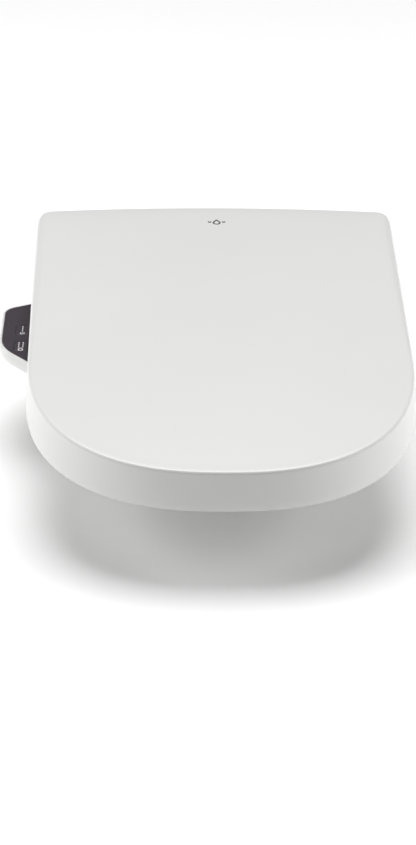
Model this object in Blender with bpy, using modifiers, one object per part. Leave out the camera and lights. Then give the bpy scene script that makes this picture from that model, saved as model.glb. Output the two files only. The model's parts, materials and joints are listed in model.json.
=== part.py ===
"""Electric bidet seat: a lid and a heated seat ring hinged on a water-and-electrics unit.

Units are metres, +Z is up. The origin lies on the bowl's deck, midway between the two
mounting bolts. The front of the seat is towards -Y and the side panel is towards -X.
"""

import math

import bmesh
import bpy
from mathutils import Vector

# Driving dimensions -------------------------------------------------------------------------

BOLT_SPACING = 0.140
GAP = 0.0003

# lid: a D-shaped cap whose top and skirt both rise towards the rear
LID_FRONT_Y = -0.478
LID_HALF_WIDTH = 0.1925
LID_CURVE = 0.210
LID_REAR_Y = 0.0285
LID_REAR_BOW = 0.008
LID_CORNER = 0.016
LID_SKIN = 0.0035
LID_FLARE = 0.0027
LID_CROWN = 0.0015
FRONT_POWER = 2.42
TOP_Z, TOP_SLOPE = 0.0548, 0.1298
SKIRT_Z, SKIRT_SLOPE = 0.0149, 0.1078
REAR_LIP = 0.008

# hinge axis shared by the lid and the seat ring, along X
HINGE_Y, HINGE_Z = 0.004, 0.084
SHAFT_RADIUS = 0.004
ARM_INNER, ARM_OUTER = 0.150, 0.166
LUG_INNER, LUG_OUTER = 0.170, 0.184

# seat ring
SEAT_HALF_WIDTH = 0.1815
SEAT_FRONT_Y = -0.467
SEAT_REAR_Y = -0.117
SEAT_TOP_Z, SEAT_TOP_SLOPE = 0.042, 0.105
SEAT_BOTTOM_Z, SEAT_BOTTOM_SLOPE = 0.0135, 0.020
BRIDGE_BOTTOM_Z = 0.050
HOLE_HALF_WIDTH = 0.106
HOLE_FRONT_Y, HOLE_REAR_Y = -0.410, -0.146

# main unit
BASE_HALF_WIDTH = 0.186
BASE_FRONT_Y, BASE_REAR_Y = -0.113, 0.045
BASE_LOW_Z, BASE_TOP_Z = 0.002, 0.036
FLOOR_LOW_Z, FLOOR_TOP_Z = 0.008, 0.011
WALL = 0.003
COVER_HALF_WIDTH = 0.146
COVER_WALL = 0.0025
DECK_Z = 0.0388
SHOULDER_REAR_Y = 0.012
HEM_GAP = 0.006
BARREL_RADIUS = 0.026
VENT_SLOTS, VENT_X, VENT_PITCH, VENT_WIDTH = 10, 0.088, 0.0052, 0.0024

# nozzles: two rods that slide forwards and down out of the front of the main unit
NOZZLE_TILT = math.radians(25)
NOZZLE_TIP = (0.0, -0.105, 0.030)
NOZZLE_X = 0.012
NOZZLE_RADIUS = 0.006
NOZZLE_LENGTH = 0.125
MODULE = 0.0012
PINION_TEETH = 10
PITCH_RADIUS = MODULE * PINION_TEETH / 2
PITCH_LINE = 0.0079
PINION_AT = 0.038

# side panel
PANEL_LOW_Z, PANEL_SPLIT_Z, PANEL_TOP_Z = 0.027, 0.0395, 0.0430
PANEL_RIM = 0.003
KEY_X = -0.2068
KEY_YS = {"key_power": -0.121, "key_wash": -0.163}
KEY_HALF = (0.0075, 0.0125)

# outline steps: sides, rear corners, rear edge and front curve
SIDE_STEPS, CORNER_STEPS, REAR_STEPS, FRONT_STEPS = 3, 4, 4, 28
ROUND = 16

# Scene and materials ------------------------------------------------------------------------

for old in list(bpy.data.objects):
    bpy.data.objects.remove(old)

parts = bpy.data.collections.new("electric_bidet_seat")
cutters = bpy.data.collections.new("cutters")
bpy.context.scene.collection.children.link(parts)
bpy.context.scene.collection.children.link(cutters)


def make_material(name, color, roughness, metallic=0.0):
    material = bpy.data.materials.new(name)
    material.use_nodes = True
    shader = material.node_tree.nodes["Principled BSDF"]
    shader.inputs["Base Color"].default_value = (*color, 1.0)
    shader.inputs["Roughness"].default_value = roughness
    shader.inputs["Metallic"].default_value = metallic
    return material


WHITE = ((0.86, 0.86, 0.85), 0.28)
FINISHES = {
    "white_plastic": WHITE,
    "black_panel": ((0.035, 0.031, 0.036), 0.12),
    "grey_plastic": ((0.42, 0.43, 0.44), 0.5),
    "dark_plastic": ((0.06, 0.06, 0.065), 0.55),
    "rubber": ((0.55, 0.55, 0.54), 0.8),
    "steel": ((0.62, 0.62, 0.63), 0.3, 1.0),
    "brass": ((0.70, 0.55, 0.25), 0.35, 1.0),
    "board": ((0.03, 0.19, 0.09), 0.5),
    "hose": ((0.80, 0.82, 0.80), 0.45),
    "heater_film": ((0.60, 0.33, 0.12), 0.4),
}


def finish_for(name, kind):
    """Each sub-part has a material of its own, mixed from one of the finishes."""
    return make_material(name + "_" + kind, *FINISHES[kind])


# Building blocks ----------------------------------------------------------------------------


def add_object(name, mesh, kind):
    obj = bpy.data.objects.new(name, mesh)
    parts.objects.link(obj)
    mesh.materials.clear()
    mesh.materials.append(finish_for(name, kind))
    return obj


def finish_mesh(name, bm, kind):
    bmesh.ops.recalc_face_normals(bm, faces=bm.faces)
    mesh = bpy.data.meshes.new(name)
    bm.to_mesh(mesh)
    bm.free()
    mesh.shade_smooth()
    mesh.set_sharp_from_angle(angle=math.radians(35))
    return add_object(name, mesh, kind)


def loft(name, rings, kind, closed=False):
    """A solid through rings of equal length: capped at both ends, or closed on itself."""
    bm = bmesh.new()
    loops = [[bm.verts.new(point) for point in ring] for ring in rings]
    count = len(rings[0])
    pairs = list(zip(loops, loops[1:]))
    if closed:
        pairs.append((loops[-1], loops[0]))
    for first, second in pairs:
        for i in range(count):
            j = (i + 1) % count
            bm.faces.new((first[i], first[j], second[j], second[i]))
    if not closed:
        bm.faces.new(list(reversed(loops[0])))
        bm.faces.new(loops[-1])
    return finish_mesh(name, bm, kind)


def slab(name, loops, low, high, kind, axis="Z"):
    """A flat outline, with any holes as further loops, from low to high along an axis.

    The loops are (x, y) for axis Z, (y, z) for axis X and (x, z) for axis Y.
    """
    curve = bpy.data.curves.new(name, "CURVE")
    curve.dimensions = "2D"
    curve.fill_mode = "BOTH"
    curve.extrude = (high - low) / 2
    for points in loops:
        spline = curve.splines.new("POLY")
        spline.points.add(len(points) - 1)
        for spot, (u, v) in zip(spline.points, points):
            spot.co = (u, v, 0.0, 1.0)
        spline.use_cyclic_u = True
    guide = bpy.data.objects.new(name + "_outline", curve)
    bpy.context.scene.collection.objects.link(guide)
    bpy.context.view_layer.update()
    mesh = bpy.data.meshes.new_from_object(
        guide.evaluated_get(bpy.context.evaluated_depsgraph_get())
    )
    bpy.data.objects.remove(guide)
    bm = bmesh.new()
    bm.from_mesh(mesh)
    bpy.data.meshes.remove(mesh)
    bmesh.ops.remove_doubles(bm, verts=bm.verts, dist=1e-6)
    obj = finish_mesh(name, bm, kind)
    middle = (low + high) / 2
    places = {
        "X": ((middle, 0, 0), (math.pi / 2, 0, math.pi / 2)),
        "Y": ((0, middle, 0), (math.pi / 2, 0, 0)),
        "Z": ((0, 0, middle), (0, 0, 0)),
    }
    obj.location, obj.rotation_euler = places[axis]
    return obj


def box(name, low, high, kind):
    bm = bmesh.new()
    bmesh.ops.create_cube(bm, size=1.0)
    size = [b - a for a, b in zip(low, high)]
    middle = [(a + b) / 2 for a, b in zip(low, high)]
    for vert in bm.verts:
        vert.co = [m + s * c for m, s, c in zip(middle, size, vert.co)]
    return finish_mesh(name, bm, kind)


def turned(name, profile, place, direction, kind, steps=ROUND):
    """A solid of revolution: (radius, height) pairs from the top down, on an axis."""
    mesh = bpy.data.meshes.new(name)
    points = [(radius, 0.0, height) for radius, height in profile]
    closed = profile[0][0] > 0
    edges = [(i, i + 1) for i in range(len(points) - 1)]
    if closed:
        edges.append((len(points) - 1, 0))
    mesh.from_pydata(points, edges, [])
    obj = add_object(name, mesh, kind)
    screw = obj.modifiers.new("turn", "SCREW")
    screw.steps = screw.render_steps = steps
    screw.use_merge_vertices = True
    screw.merge_threshold = 1e-5
    screw.use_smooth_shade = False
    obj.location = place
    obj.rotation_euler = Vector(direction).to_track_quat("Z", "Y").to_euler()
    return obj


def rod(name, radius, start, end, kind, steps=ROUND):
    length = (Vector(end) - Vector(start)).length
    profile = [(0, length), (radius, length), (radius, 0), (0, 0)]
    return turned(name, profile, start, Vector(end) - Vector(start), kind, steps)


def hinge_rod(name, radius, start_x, end_x, kind, steps=ROUND):
    """A rod on the axis that the lid and the seat ring share."""
    return rod(name, radius, (start_x, HINGE_Y, HINGE_Z), (end_x, HINGE_Y, HINGE_Z), kind, steps)


def hose(name, points, radius, kind):
    """A round tube along a smooth path through a few points."""
    curve = bpy.data.curves.new(name, "CURVE")
    curve.dimensions = "3D"
    curve.bevel_depth = radius
    curve.bevel_resolution = 2
    curve.resolution_u = 4
    curve.use_fill_caps = True
    spline = curve.splines.new("BEZIER")
    spline.bezier_points.add(len(points) - 1)
    for spot, point in zip(spline.bezier_points, points):
        spot.co = point
        spot.handle_left_type = spot.handle_right_type = "AUTO"
    obj = bpy.data.objects.new(name, curve)
    parts.objects.link(obj)
    curve.materials.append(finish_for(name, kind))
    return obj


def as_cutter(obj):
    parts.objects.unlink(obj)
    cutters.objects.link(obj)
    obj.hide_render = True
    obj.display_type = "WIRE"
    return obj


def combine(target, other, operation):
    as_cutter(other)
    boolean = target.modifiers.new(other.name, "BOOLEAN")
    boolean.operation = operation
    boolean.object = other
    boolean.solver = "EXACT"


def cut(target, other):
    combine(target, other, "DIFFERENCE")


def join(target, other):
    combine(target, other, "UNION")


def soften(obj, width, segments=2):
    bevel = obj.modifiers.new("soft edges", "BEVEL")
    bevel.width = width
    bevel.segments = segments
    bevel.limit_method = "ANGLE"
    bevel.angle_limit = math.radians(40)


def pivot(name, place, tilt=0.0):
    empty = bpy.data.objects.new(name, None)
    empty.location = place
    empty.rotation_euler = (tilt, 0.0, 0.0)
    parts.objects.link(empty)
    return empty


def carry(empty, *pieces):
    """Parents pieces to an empty on their joint's axis, and leaves them where they are."""
    bpy.context.view_layer.update()
    for piece in pieces:
        place = piece.matrix_world.copy()
        piece.parent = empty
        piece.matrix_parent_inverse = empty.matrix_world.inverted()
        piece.matrix_basis = place


# Outlines -----------------------------------------------------------------------------------


def circle(radius, middle=(0.0, 0.0), steps=ROUND):
    turns = [2 * math.pi * i / steps for i in range(steps)]
    return [
        (middle[0] + radius * math.cos(a), middle[1] + radius * math.sin(a)) for a in turns
    ]


def rounded(corners, steps=4):
    """A closed outline through (x, y, radius) corners, each corner an arc."""
    outline = []
    for i, (x, y, radius) in enumerate(corners):
        here = Vector((x, y))
        before = (Vector(corners[i - 1][:2]) - here).normalized()
        after = (Vector(corners[(i + 1) % len(corners)][:2]) - here).normalized()
        half = before.angle(after) / 2
        reach = radius / math.tan(half)
        centre = here + (before + after).normalized() * radius / math.sin(half)
        first = here + before * reach - centre
        last = here + after * reach - centre
        sweep = first.angle_signed(last)
        for k in range(steps + 1):
            turn = -sweep * k / steps
            cos, sin = math.cos(turn), math.sin(turn)
            outline.append(
                (
                    centre.x + first.x * cos - first.y * sin,
                    centre.y + first.x * sin + first.y * cos,
                )
            )
    return outline


def shrink(corners, distance):
    """The same (x, y, radius) corners, anticlockwise, with every side moved inwards."""
    moved = []
    for i, (x, y, radius) in enumerate(corners):
        here = Vector((x, y))
        into = (here - Vector(corners[i - 1][:2])).normalized()
        out = (Vector(corners[(i + 1) % len(corners)][:2]) - here).normalized()
        in_normal = Vector((-into.y, into.x))
        out_normal = Vector((-out.y, out.x))
        scale = distance / (1 + in_normal.dot(out_normal))
        spot = here + (in_normal + out_normal) * scale
        moved.append((spot.x, spot.y, max(radius - distance, 0.0008)))
    return moved


def rectangle(x0, y0, x1, y1, radius):
    return [(x1, y0, radius), (x1, y1, radius), (x0, y1, radius), (x0, y0, radius)]


def d_outline(half_width, front_y, curve, rear_y, corner, bow=0.0):
    """A D-shaped plan, anticlockwise from above, from where the right side leaves the front."""
    straight_y = front_y + curve
    corner_y = rear_y - corner
    flat = half_width - corner
    points = []
    for i in range(SIDE_STEPS):
        points.append((half_width, straight_y + (corner_y - straight_y) * i / SIDE_STEPS))
    for i in range(CORNER_STEPS):
        turn = math.pi / 2 * i / CORNER_STEPS
        points.append((flat + corner * math.cos(turn), corner_y + corner * math.sin(turn)))
    for i in range(REAR_STEPS):
        x = flat * (1 - 2 * i / REAR_STEPS)
        points.append((x, rear_y + bow * (1 - (x / flat) ** 2)))
    for i in range(CORNER_STEPS):
        turn = math.pi / 2 * (1 + i / CORNER_STEPS)
        points.append((-flat + corner * math.cos(turn), corner_y + corner * math.sin(turn)))
    for i in range(SIDE_STEPS):
        points.append((-half_width, corner_y + (straight_y - corner_y) * i / SIDE_STEPS))
    for i in range(FRONT_STEPS):
        turn = math.pi * i / FRONT_STEPS
        across = abs(math.cos(turn)) ** (2 / FRONT_POWER) * (-1 if turn < math.pi / 2 else 1)
        ahead = math.sin(turn) ** (2 / FRONT_POWER)
        points.append((half_width * across, straight_y - curve * ahead))
    return points


def level(points, z):
    return [(x, y, z) for x, y in points]


def lid_top(y):
    return TOP_Z + TOP_SLOPE * (y - LID_FRONT_Y)


def lid_hem(y):
    return SKIRT_Z + SKIRT_SLOPE * (y - LID_FRONT_Y)


def seat_top(y):
    return SEAT_TOP_Z + SEAT_TOP_SLOPE * (y - LID_FRONT_Y)


def smoothstep(low, high, value):
    t = min(max((value - low) / (high - low), 0.0), 1.0)
    return t * t * (3 - 2 * t)


# Mount --------------------------------------------------------------------------------------


def make_mount():
    slots = []
    for side in (-1, 1):
        x = side * BOLT_SPACING / 2
        slots.append(rounded(rectangle(x - 0.012, -0.0045, x + 0.012, 0.0045, 0.0044)))
    edge = rounded(rectangle(-0.105, -0.036, 0.105, 0.036, 0.006))
    plate = slab("mounting_plate", [edge] + slots, 0.0, 0.004, "grey_plastic")
    for side, name in ((-1, "left"), (1, "right")):
        inner, outer = sorted((side * 0.096, side * 0.102))
        rail = box(
            "guide_rail_" + name, (inner, -0.033, 0.002), (outer, 0.033, 0.0072), "grey_plastic"
        )
        join(plate, rail)
        x = side * BOLT_SPACING / 2
        profile = [
            (0, 0.0074), (0.0075, 0.0070), (0.009, 0.0046), (0.009, 0.0043), (0.0034, 0.0043),
            (0.0034, -0.0640), (0.0028, -0.0650), (0, -0.0650),
        ]
        turned("mounting_bolt_" + name, profile, (x, 0, 0), (0, 0, 1), "steel")
        ring = [(0.014, -0.0365), (0.014, -0.0380), (0.0040, -0.0380), (0.0040, -0.0365)]
        turned("bowl_washer_" + name, ring, (x, 0, 0), (0, 0, 1), "rubber")
        outline = [circle(0.0105, (x, 0), 18), circle(0.0037, (x, 0))]
        nut = slab("wing_nut_" + name, outline, -0.052, -0.0383, "grey_plastic")
        for turn in (-1, 1):
            inner, outer = sorted((x + turn * 0.009, x + turn * 0.021))
            wing = box(
                "wing_%s_%d" % (name, turn), (inner, -0.002, -0.050), (outer, 0.002, -0.040),
                "grey_plastic",
            )
            join(nut, wing)


# Main unit ----------------------------------------------------------------------------------

BASE = [
    (BASE_HALF_WIDTH, BASE_FRONT_Y, 0.008),
    (BASE_HALF_WIDTH, BASE_REAR_Y, 0.018),
    (-BASE_HALF_WIDTH, BASE_REAR_Y, 0.018),
    (-BASE_HALF_WIDTH, BASE_FRONT_Y, 0.008),
]


def make_base():
    walls = [
        (WALL, FLOOR_LOW_Z),
        (WALL, BASE_LOW_Z),
        (0.0012, BASE_LOW_Z),
        (0.0, BASE_LOW_Z + 0.0012),
        (0.0, BASE_TOP_Z),
        (WALL, BASE_TOP_Z),
        (WALL, FLOOR_TOP_Z),
    ]
    base = loft(
        "body_base", [level(rounded(shrink(BASE, d)), z) for d, z in walls], "white_plastic"
    )
    cut(base, box("plate_channel", (-0.110, 0.030, -0.001), (0.110, 0.050, 0.0075), "steel"))
    cut(base, box("nozzle_notch", (-0.036, -0.120, 0.0125), (0.036, -0.105, 0.040), "steel"))
    cut(base, box("button_hole", (0.180, 0.004, 0.014), (0.190, 0.028, 0.026), "steel"))
    cut(base, box("filter_hole", (0.180, -0.092, 0.0125), (0.190, -0.048, 0.0315), "steel"))
    cut(base, rod("inlet_hole", 0.0085, (-0.158, 0.018, 0.004), (-0.158, 0.018, 0.015), "steel"))
    cut(base, rod("gland_hole", 0.0068, (0.158, 0.026, 0.004), (0.158, 0.026, 0.015), "steel"))
    slots = []
    for i in range(VENT_SLOTS):
        x = VENT_X + VENT_PITCH * i
        slots.append(rounded(rectangle(x, 0.0150, x + VENT_WIDTH, 0.0310, 0.001)))
    cut(base, slab("vent_slots", slots, 0.036, 0.050, "steel", "Y"))
    return base


def cover_profile(inset):
    """The cover's side view as (y, z): a sloping hood that ends in the hinge barrel."""
    radius = BARREL_RADIUS - inset
    foot = BASE_TOP_Z + GAP - (0.01 if inset else 0.0)
    rear = 0.012 - inset
    points = [(rear, foot), (rear, 0.054)]
    for i in range(9):
        turn = math.radians(-45 + 150 * i / 8)
        points.append((HINGE_Y + radius * math.cos(turn), HINGE_Z + radius * math.sin(turn)))
    front = BASE_FRONT_Y + inset
    for i in range(5):
        turn = math.radians(105 + 75 * i / 4)
        nose = 0.024 - inset
        points.append((-0.089 + nose * math.cos(turn), 0.0635 + nose * math.sin(turn)))
    points.append((front, foot))
    return points


def shoulders(name, inset):
    """The cover's sides: they follow the lid's hem, and drop to a low deck behind the hinge."""
    foot = BASE_TOP_Z + GAP - (0.01 if inset else 0.0)
    front, rear = BASE_FRONT_Y - 0.01, BASE_REAR_Y + 0.01
    step = SHOULDER_REAR_Y - inset
    deck = foot + 0.005 if inset else DECK_Z
    side_view = [
        (rear, foot), (rear, deck), (step + 0.003, deck),
        (step, lid_hem(step) - HEM_GAP - 0.004 - inset),
        (step - 0.004, lid_hem(step) - HEM_GAP - inset), (front, lid_hem(front) - HEM_GAP - inset),
        (front, foot),
    ]
    solid = slab(name, [rounded(shrink(BASE, inset))], foot, 0.070, "white_plastic")
    combine(solid, slab(name + "_side", [side_view], -0.2, 0.2, "steel", "X"), "INTERSECT")
    return solid


def make_cover():
    half = COVER_HALF_WIDTH
    cover = slab("top_cover", [cover_profile(0.0)], -half, half, "white_plastic", "X")
    join(cover, shoulders("shoulders", 0.0))
    inside = half - COVER_WALL
    cut(cover, shoulders("shoulder_hollow", COVER_WALL + GAP))
    cut(cover, slab("cover_hollow", [cover_profile(COVER_WALL)], -inside, inside, "steel", "X"))
    cut(cover, box("guard_window", (-0.036, -0.120, 0.030), (0.036, -0.105, 0.050), "steel"))
    axis = (HINGE_Y, HINGE_Z)
    for side, low in ((-1, -0.150), (1, 0.140)):
        hole = slab("shaft_hole_%d" % side, [circle(0.005, axis)], low, low + 0.010, "steel", "X")
        cut(cover, hole)
    return cover


def make_guard():
    window = [
        rounded([(x, z, r) for x, z, r in rectangle(-0.0355, 0.0130, 0.0355, 0.0495, 0.003)]),
        rounded([(x, z, r) for x, z, r in rectangle(-0.0285, 0.0155, 0.0285, 0.0440, 0.004)]),
    ]
    slab("nozzle_guard", window, -0.1155, -0.1060, "white_plastic", "Y")


def make_water_parts():
    tank = slab(
        "water_heater",
        [rounded(rectangle(0.060, -0.100, 0.132, -0.048, 0.010))],
        0.0115, 0.060, "grey_plastic",
    )
    soften(tank, 0.003)
    slab(
        "diverter_valve",
        [rounded(rectangle(0.058, -0.040, 0.096, -0.012, 0.006))],
        0.0115, 0.044, "dark_plastic",
    )
    slab(
        "inlet_valve",
        [rounded(rectangle(-0.130, -0.034, -0.096, 0.004, 0.006))],
        0.0115, 0.046, "dark_plastic",
    )
    neck, flange, thread = 0.0080, 0.0135, 0.0103
    turned(
        "water_inlet_fitting",
        [
            (neck, 0.0186), (neck, 0.0052), (flange, 0.0050), (flange, -0.0010), (thread, -0.0012),
            (thread, -0.0215), (0.0095, -0.0225), (0.0070, -0.0225), (0.0045, 0.0000),
            (0.0045, 0.0186),
        ],
        (-0.158, 0.018, 0.0), (0, 0, 1), "brass",
    )
    turned(
        "inlet_strainer",
        [(0, -0.0020), (0.0036, -0.0022), (0.0062, -0.0200), (0.0062, -0.0222), (0, -0.0222)],
        (-0.158, 0.018, 0.0), (0, 0, 1), "grey_plastic",
    )
    turned(
        "cord_gland",
        [(0.0095, 0.0150), (0.0095, 0.0113), (0.0064, 0.0113), (0.0064, 0.0078), (0.0085, 0.0076),
         (0.0060, -0.0100), (0.0036, -0.0100), (0.0036, 0.0150)],
        (0.158, 0.026, 0.0), (0, 0, 1), "dark_plastic",
    )
    hose("inlet_hose", [
        (-0.158, 0.018, 0.0190), (-0.158, 0.018, 0.0215), (-0.150, 0.006, 0.0290),
        (-0.138, -0.010, 0.0295), (-0.1306, -0.010, 0.0295),
    ], 0.0035, "hose")
    hose("heater_hose", [(0.079, -0.0476, 0.030), (0.079, -0.0404, 0.030)], 0.0035, "hose")


def make_electrics():
    slab(
        "power_board",
        [rounded(rectangle(-0.138, -0.106, -0.058, -0.042, 0.003))],
        0.0160, 0.0176, "board",
    )
    slab(
        "control_board",
        [rounded(rectangle(-0.138, -0.104, -0.062, -0.042, 0.003))],
        0.0520, 0.0536, "board",
    )


def make_deodoriser():
    centre = (-0.022, 0.034)
    ring = [circle(0.0200, centre, 24), circle(0.0165, centre, 24)]
    slab("fan_housing", ring, 0.106, 0.124, "dark_plastic", "X")
    hub = slab("fan_impeller", [circle(0.0060, centre)], 0.108, 0.122, "dark_plastic", "X")
    for i in range(7):
        turn = 2 * math.pi * i / 7
        along = Vector((math.cos(turn), math.sin(turn)))
        across = Vector((-along.y, along.x)) * 0.0007
        middle = Vector(centre)
        root, tip = middle + along * 0.004, middle + along * 0.0155
        blade = [tuple(p) for p in (root - across, tip - across, tip + across, root + across)]
        join(hub, slab("blade_%d" % i, [blade], 0.1090, 0.1210, "dark_plastic", "X"))
    carry(pivot("impeller_axis", (0.115, *centre)), hub)
    tray = slab(
        "carbon_filter",
        [rounded(rectangle(0.150, -0.0910, 0.1866, -0.0490, 0.002))],
        0.0135, 0.0305, "grey_plastic",
    )
    cut(tray, box("carbon_bed", (0.153, -0.088, 0.0180), (0.178, -0.052, 0.0320), "steel"))
    carry(pivot("filter_axis", (0.170, -0.070, 0.022)), tray)


def make_release():
    button = box(
        "release_button", (0.1750, 0.0045, 0.0145), (0.1872, 0.0275, 0.0255), "grey_plastic"
    )
    flange = box(
        "button_flange", (0.1740, 0.0025, 0.0125), (0.1770, 0.0295, 0.0275), "grey_plastic"
    )
    join(button, flange)
    latch = box("release_latch", (0.1330, 0.0080, 0.0150), (0.1737, 0.0140, 0.0190), "steel")
    carry(pivot("button_axis", (0.180, 0.016, 0.020)), button, latch)


def make_cradle():
    """A wedge under the nozzles, its top parallel to them, with a groove for each."""
    rise = math.tan(NOZZLE_TILT)

    def line(y, drop):
        return NOZZLE_TIP[2] + rise * (y - NOZZLE_TIP[1]) - drop

    front, rear, foot = -0.100, -0.006, 0.0113
    wedge = [(front, foot), (rear, foot), (rear, line(rear, 0.001)), (front, line(front, 0.001))]
    front, rear, foot = -0.060, -0.011, 0.0160
    window = [(front, foot), (rear, foot), (rear, line(rear, 0.013)), (front, line(front, 0.013))]
    cradle = slab("nozzle_cradle", [wedge, window], -0.024, 0.024, "grey_plastic", "X")
    along = Vector((0, math.cos(NOZZLE_TILT), math.sin(NOZZLE_TILT)))
    for side in (-1, 1):
        start = Vector(NOZZLE_TIP) + Vector((side * NOZZLE_X, 0, 0)) - along * 0.02
        end = start + along * 0.16
        cut(cradle, rod("groove_%d" % side, NOZZLE_RADIUS + 0.0005, start, end, "steel"))


def rack_outline():
    """Rack teeth along the top of a nozzle, as (distance from the tip, height)."""
    pitch = math.pi * MODULE
    tip, root, base = PITCH_LINE + 0.0009, PITCH_LINE - 0.0011, 0.0040
    low, high = 0.016, 0.1215
    points = [(low, base), (high, base), (high, root)]
    first = PINION_AT + pitch / 2
    centres = [first + k * pitch for k in range(-10, 40)]
    for middle in reversed([c for c in centres if low + 0.002 < c < high - 0.002]):
        points += [
            (middle + 0.00095, root), (middle + 0.0003, tip),
            (middle - 0.0003, tip), (middle - 0.00095, root),
        ]
    points.append((low, root))
    return points


def pinion_outline(centre):
    tip, root = PITCH_RADIUS + 0.0009, PITCH_RADIUS - 0.0011
    points = []
    for i in range(PINION_TEETH):
        middle = -math.pi / 2 + 2 * math.pi * i / PINION_TEETH
        for radius, half in ((root, -0.00085), (tip, -0.00025), (tip, 0.00025), (root, 0.00085)):
            turn = middle + half / radius
            across, along = radius * math.cos(turn), radius * math.sin(turn)
            points.append((centre[0] + across, centre[1] + along))
    return points


def place_in_nozzle_frame(obj, frame):
    """Moves a piece drawn along +Y from the tip into the sloping frame of the nozzles."""
    bpy.context.view_layer.update()
    local = obj.matrix_world.copy()
    obj.parent = frame
    obj.matrix_parent_inverse.identity()
    obj.matrix_local = local
    bpy.context.view_layer.update()


def make_nozzles():
    centre = (PINION_AT, PITCH_LINE + PITCH_RADIUS)
    for side, name in ((-1, "rear"), (1, "front")):
        x = side * NOZZLE_X
        frame = pivot(name + "_nozzle_axis", (0.0, NOZZLE_TIP[1], NOZZLE_TIP[2]), NOZZLE_TILT)
        radius = NOZZLE_RADIUS
        nozzle = turned(
            name + "_nozzle",
            [(0, NOZZLE_LENGTH), (radius, NOZZLE_LENGTH), (radius, 0.004), (radius * 0.87, 0.0015),
             (radius * 0.55, 0.0003), (0, 0)],
            (x, 0, 0), (0, 1, 0), "white_plastic",
        )
        middle = x + side * 0.0005
        teeth = rack_outline()
        rack = slab(name + "_rack", [teeth], middle - 0.0025, middle + 0.0025, "white_plastic", "X")
        teeth = pinion_outline(centre)
        pinion = slab(
            name + "_pinion", [teeth], middle - 0.0027, middle + 0.0027, "grey_plastic", "X"
        )
        shaft_end, motor_end = (side * 0.0357, *centre), (side * 0.0520, *centre)
        shaft = rod(name + "_motor_shaft", 0.0015, (x, *centre), shaft_end, "steel", 12)
        motor = rod(name + "_nozzle_motor", 0.010, (side * 0.0360, *centre), motor_end, "steel")
        for piece in (nozzle, rack, pinion, shaft, motor):
            place_in_nozzle_frame(piece, frame)
        join(nozzle, rack)
        join(pinion, shaft)
        hub = frame.matrix_world @ Vector((x, *centre))
        carry(pivot(name + "_pinion_axis", hub, NOZZLE_TILT), pinion, shaft)


def make_dampers():
    hinge_rod("lid_damper", 0.011, -0.085, -0.1400, "dark_plastic", 24)
    hinge_rod("seat_damper", 0.011, 0.085, 0.1400, "dark_plastic", 24)


# Side panel ---------------------------------------------------------------------------------

# the housing's plan: straight outer side, rounded rear corner, long slanting front
PANEL = [
    (-0.1863, -0.2085, 0.004),
    (-0.1863, -0.0415, 0.003),
    (-0.2303, -0.0633, 0.022),
    (-0.2303, -0.1669, 0.065),
    (-0.1967, -0.2085, 0.008),
]
# where the housing's slanting front would meet its inner side
PANEL_POINT = (-0.1863, -0.2214, 0.004)


def panel_level(inset, z):
    return level(rounded(shrink(PANEL, inset), 6), z)


def make_panel():
    tub = [
        (0.008, PANEL_LOW_Z), (0.004, PANEL_LOW_Z + 0.0006), (0.0012, PANEL_LOW_Z + 0.003),
        (0.0, PANEL_LOW_Z + 0.008), (0.0, PANEL_SPLIT_Z), (0.0025, PANEL_SPLIT_Z),
        (0.0025, PANEL_LOW_Z + 0.008), (0.006, PANEL_LOW_Z + 0.003),
    ]
    loft("panel_lower_shell", [panel_level(d, z) for d, z in tub], "white_plastic")
    rim = PANEL_TOP_Z + 0.0003
    collar = [
        (0.0, PANEL_SPLIT_Z + GAP), (0.0, rim - 0.0012), (0.0010, rim), (PANEL_RIM - 0.0003, rim),
        (PANEL_RIM - 0.0003, rim - 0.0021), (0.0045, rim - 0.0021), (0.0045, PANEL_SPLIT_Z + GAP),
    ]
    loft("panel_upper_shell", [panel_level(d, z) for d, z in collar], "white_plastic", closed=True)
    half_x, half_y = KEY_HALF
    holes = []
    for name, y in KEY_YS.items():
        opening = rectangle(KEY_X - half_x, y - half_y, KEY_X + half_x, y + half_y, 0.003)
        holes.append(rounded(opening))
        key = slab(name, [rounded(shrink(opening, GAP))], 0.0402, PANEL_TOP_Z, "black_panel")
        carry(pivot(name + "_axis", (KEY_X, y, PANEL_TOP_Z)), key)
    face = [rounded(shrink(PANEL, PANEL_RIM), 6)] + holes
    slab("panel_face", face, PANEL_TOP_Z - 0.0015, PANEL_TOP_Z, "black_panel")
    board = [PANEL_POINT, *PANEL[1:4]]
    slab("panel_board", [rounded(shrink(board, 0.0065))], 0.0372, 0.0388, "board")


# Seat ring ----------------------------------------------------------------------------------


def seat_stations():
    """Matching points on the ring's outer and inner edges, with the underside's height there."""
    outer = d_outline(SEAT_HALF_WIDTH, SEAT_FRONT_Y, 0.199, SEAT_REAR_Y, 0.014)
    inner = d_outline(HOLE_HALF_WIDTH, HOLE_FRONT_Y, 0.150, HOLE_REAR_Y, 0.075)
    stations = []
    for out, into in zip(outer, inner):
        bottom = SEAT_BOTTOM_Z + SEAT_BOTTOM_SLOPE * (out[1] - LID_FRONT_Y)
        if out[1] > SEAT_REAR_Y - 0.018:
            lift = 1 - smoothstep(0.135, 0.175, abs(out[0]))
            bottom += (BRIDGE_BOTTOM_Z - bottom) * lift
        stations.append((Vector(out), Vector(into), bottom))
    return stations


def round_hinge(radius, first, last):
    """Points on an arc round the hinge axis, as (y, z), every 20 degrees."""
    turns = [math.radians(degrees) for degrees in range(first, last + 1, 20)]
    return [(HINGE_Y + radius * math.cos(a), HINGE_Z + radius * math.sin(a)) for a in turns]


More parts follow.
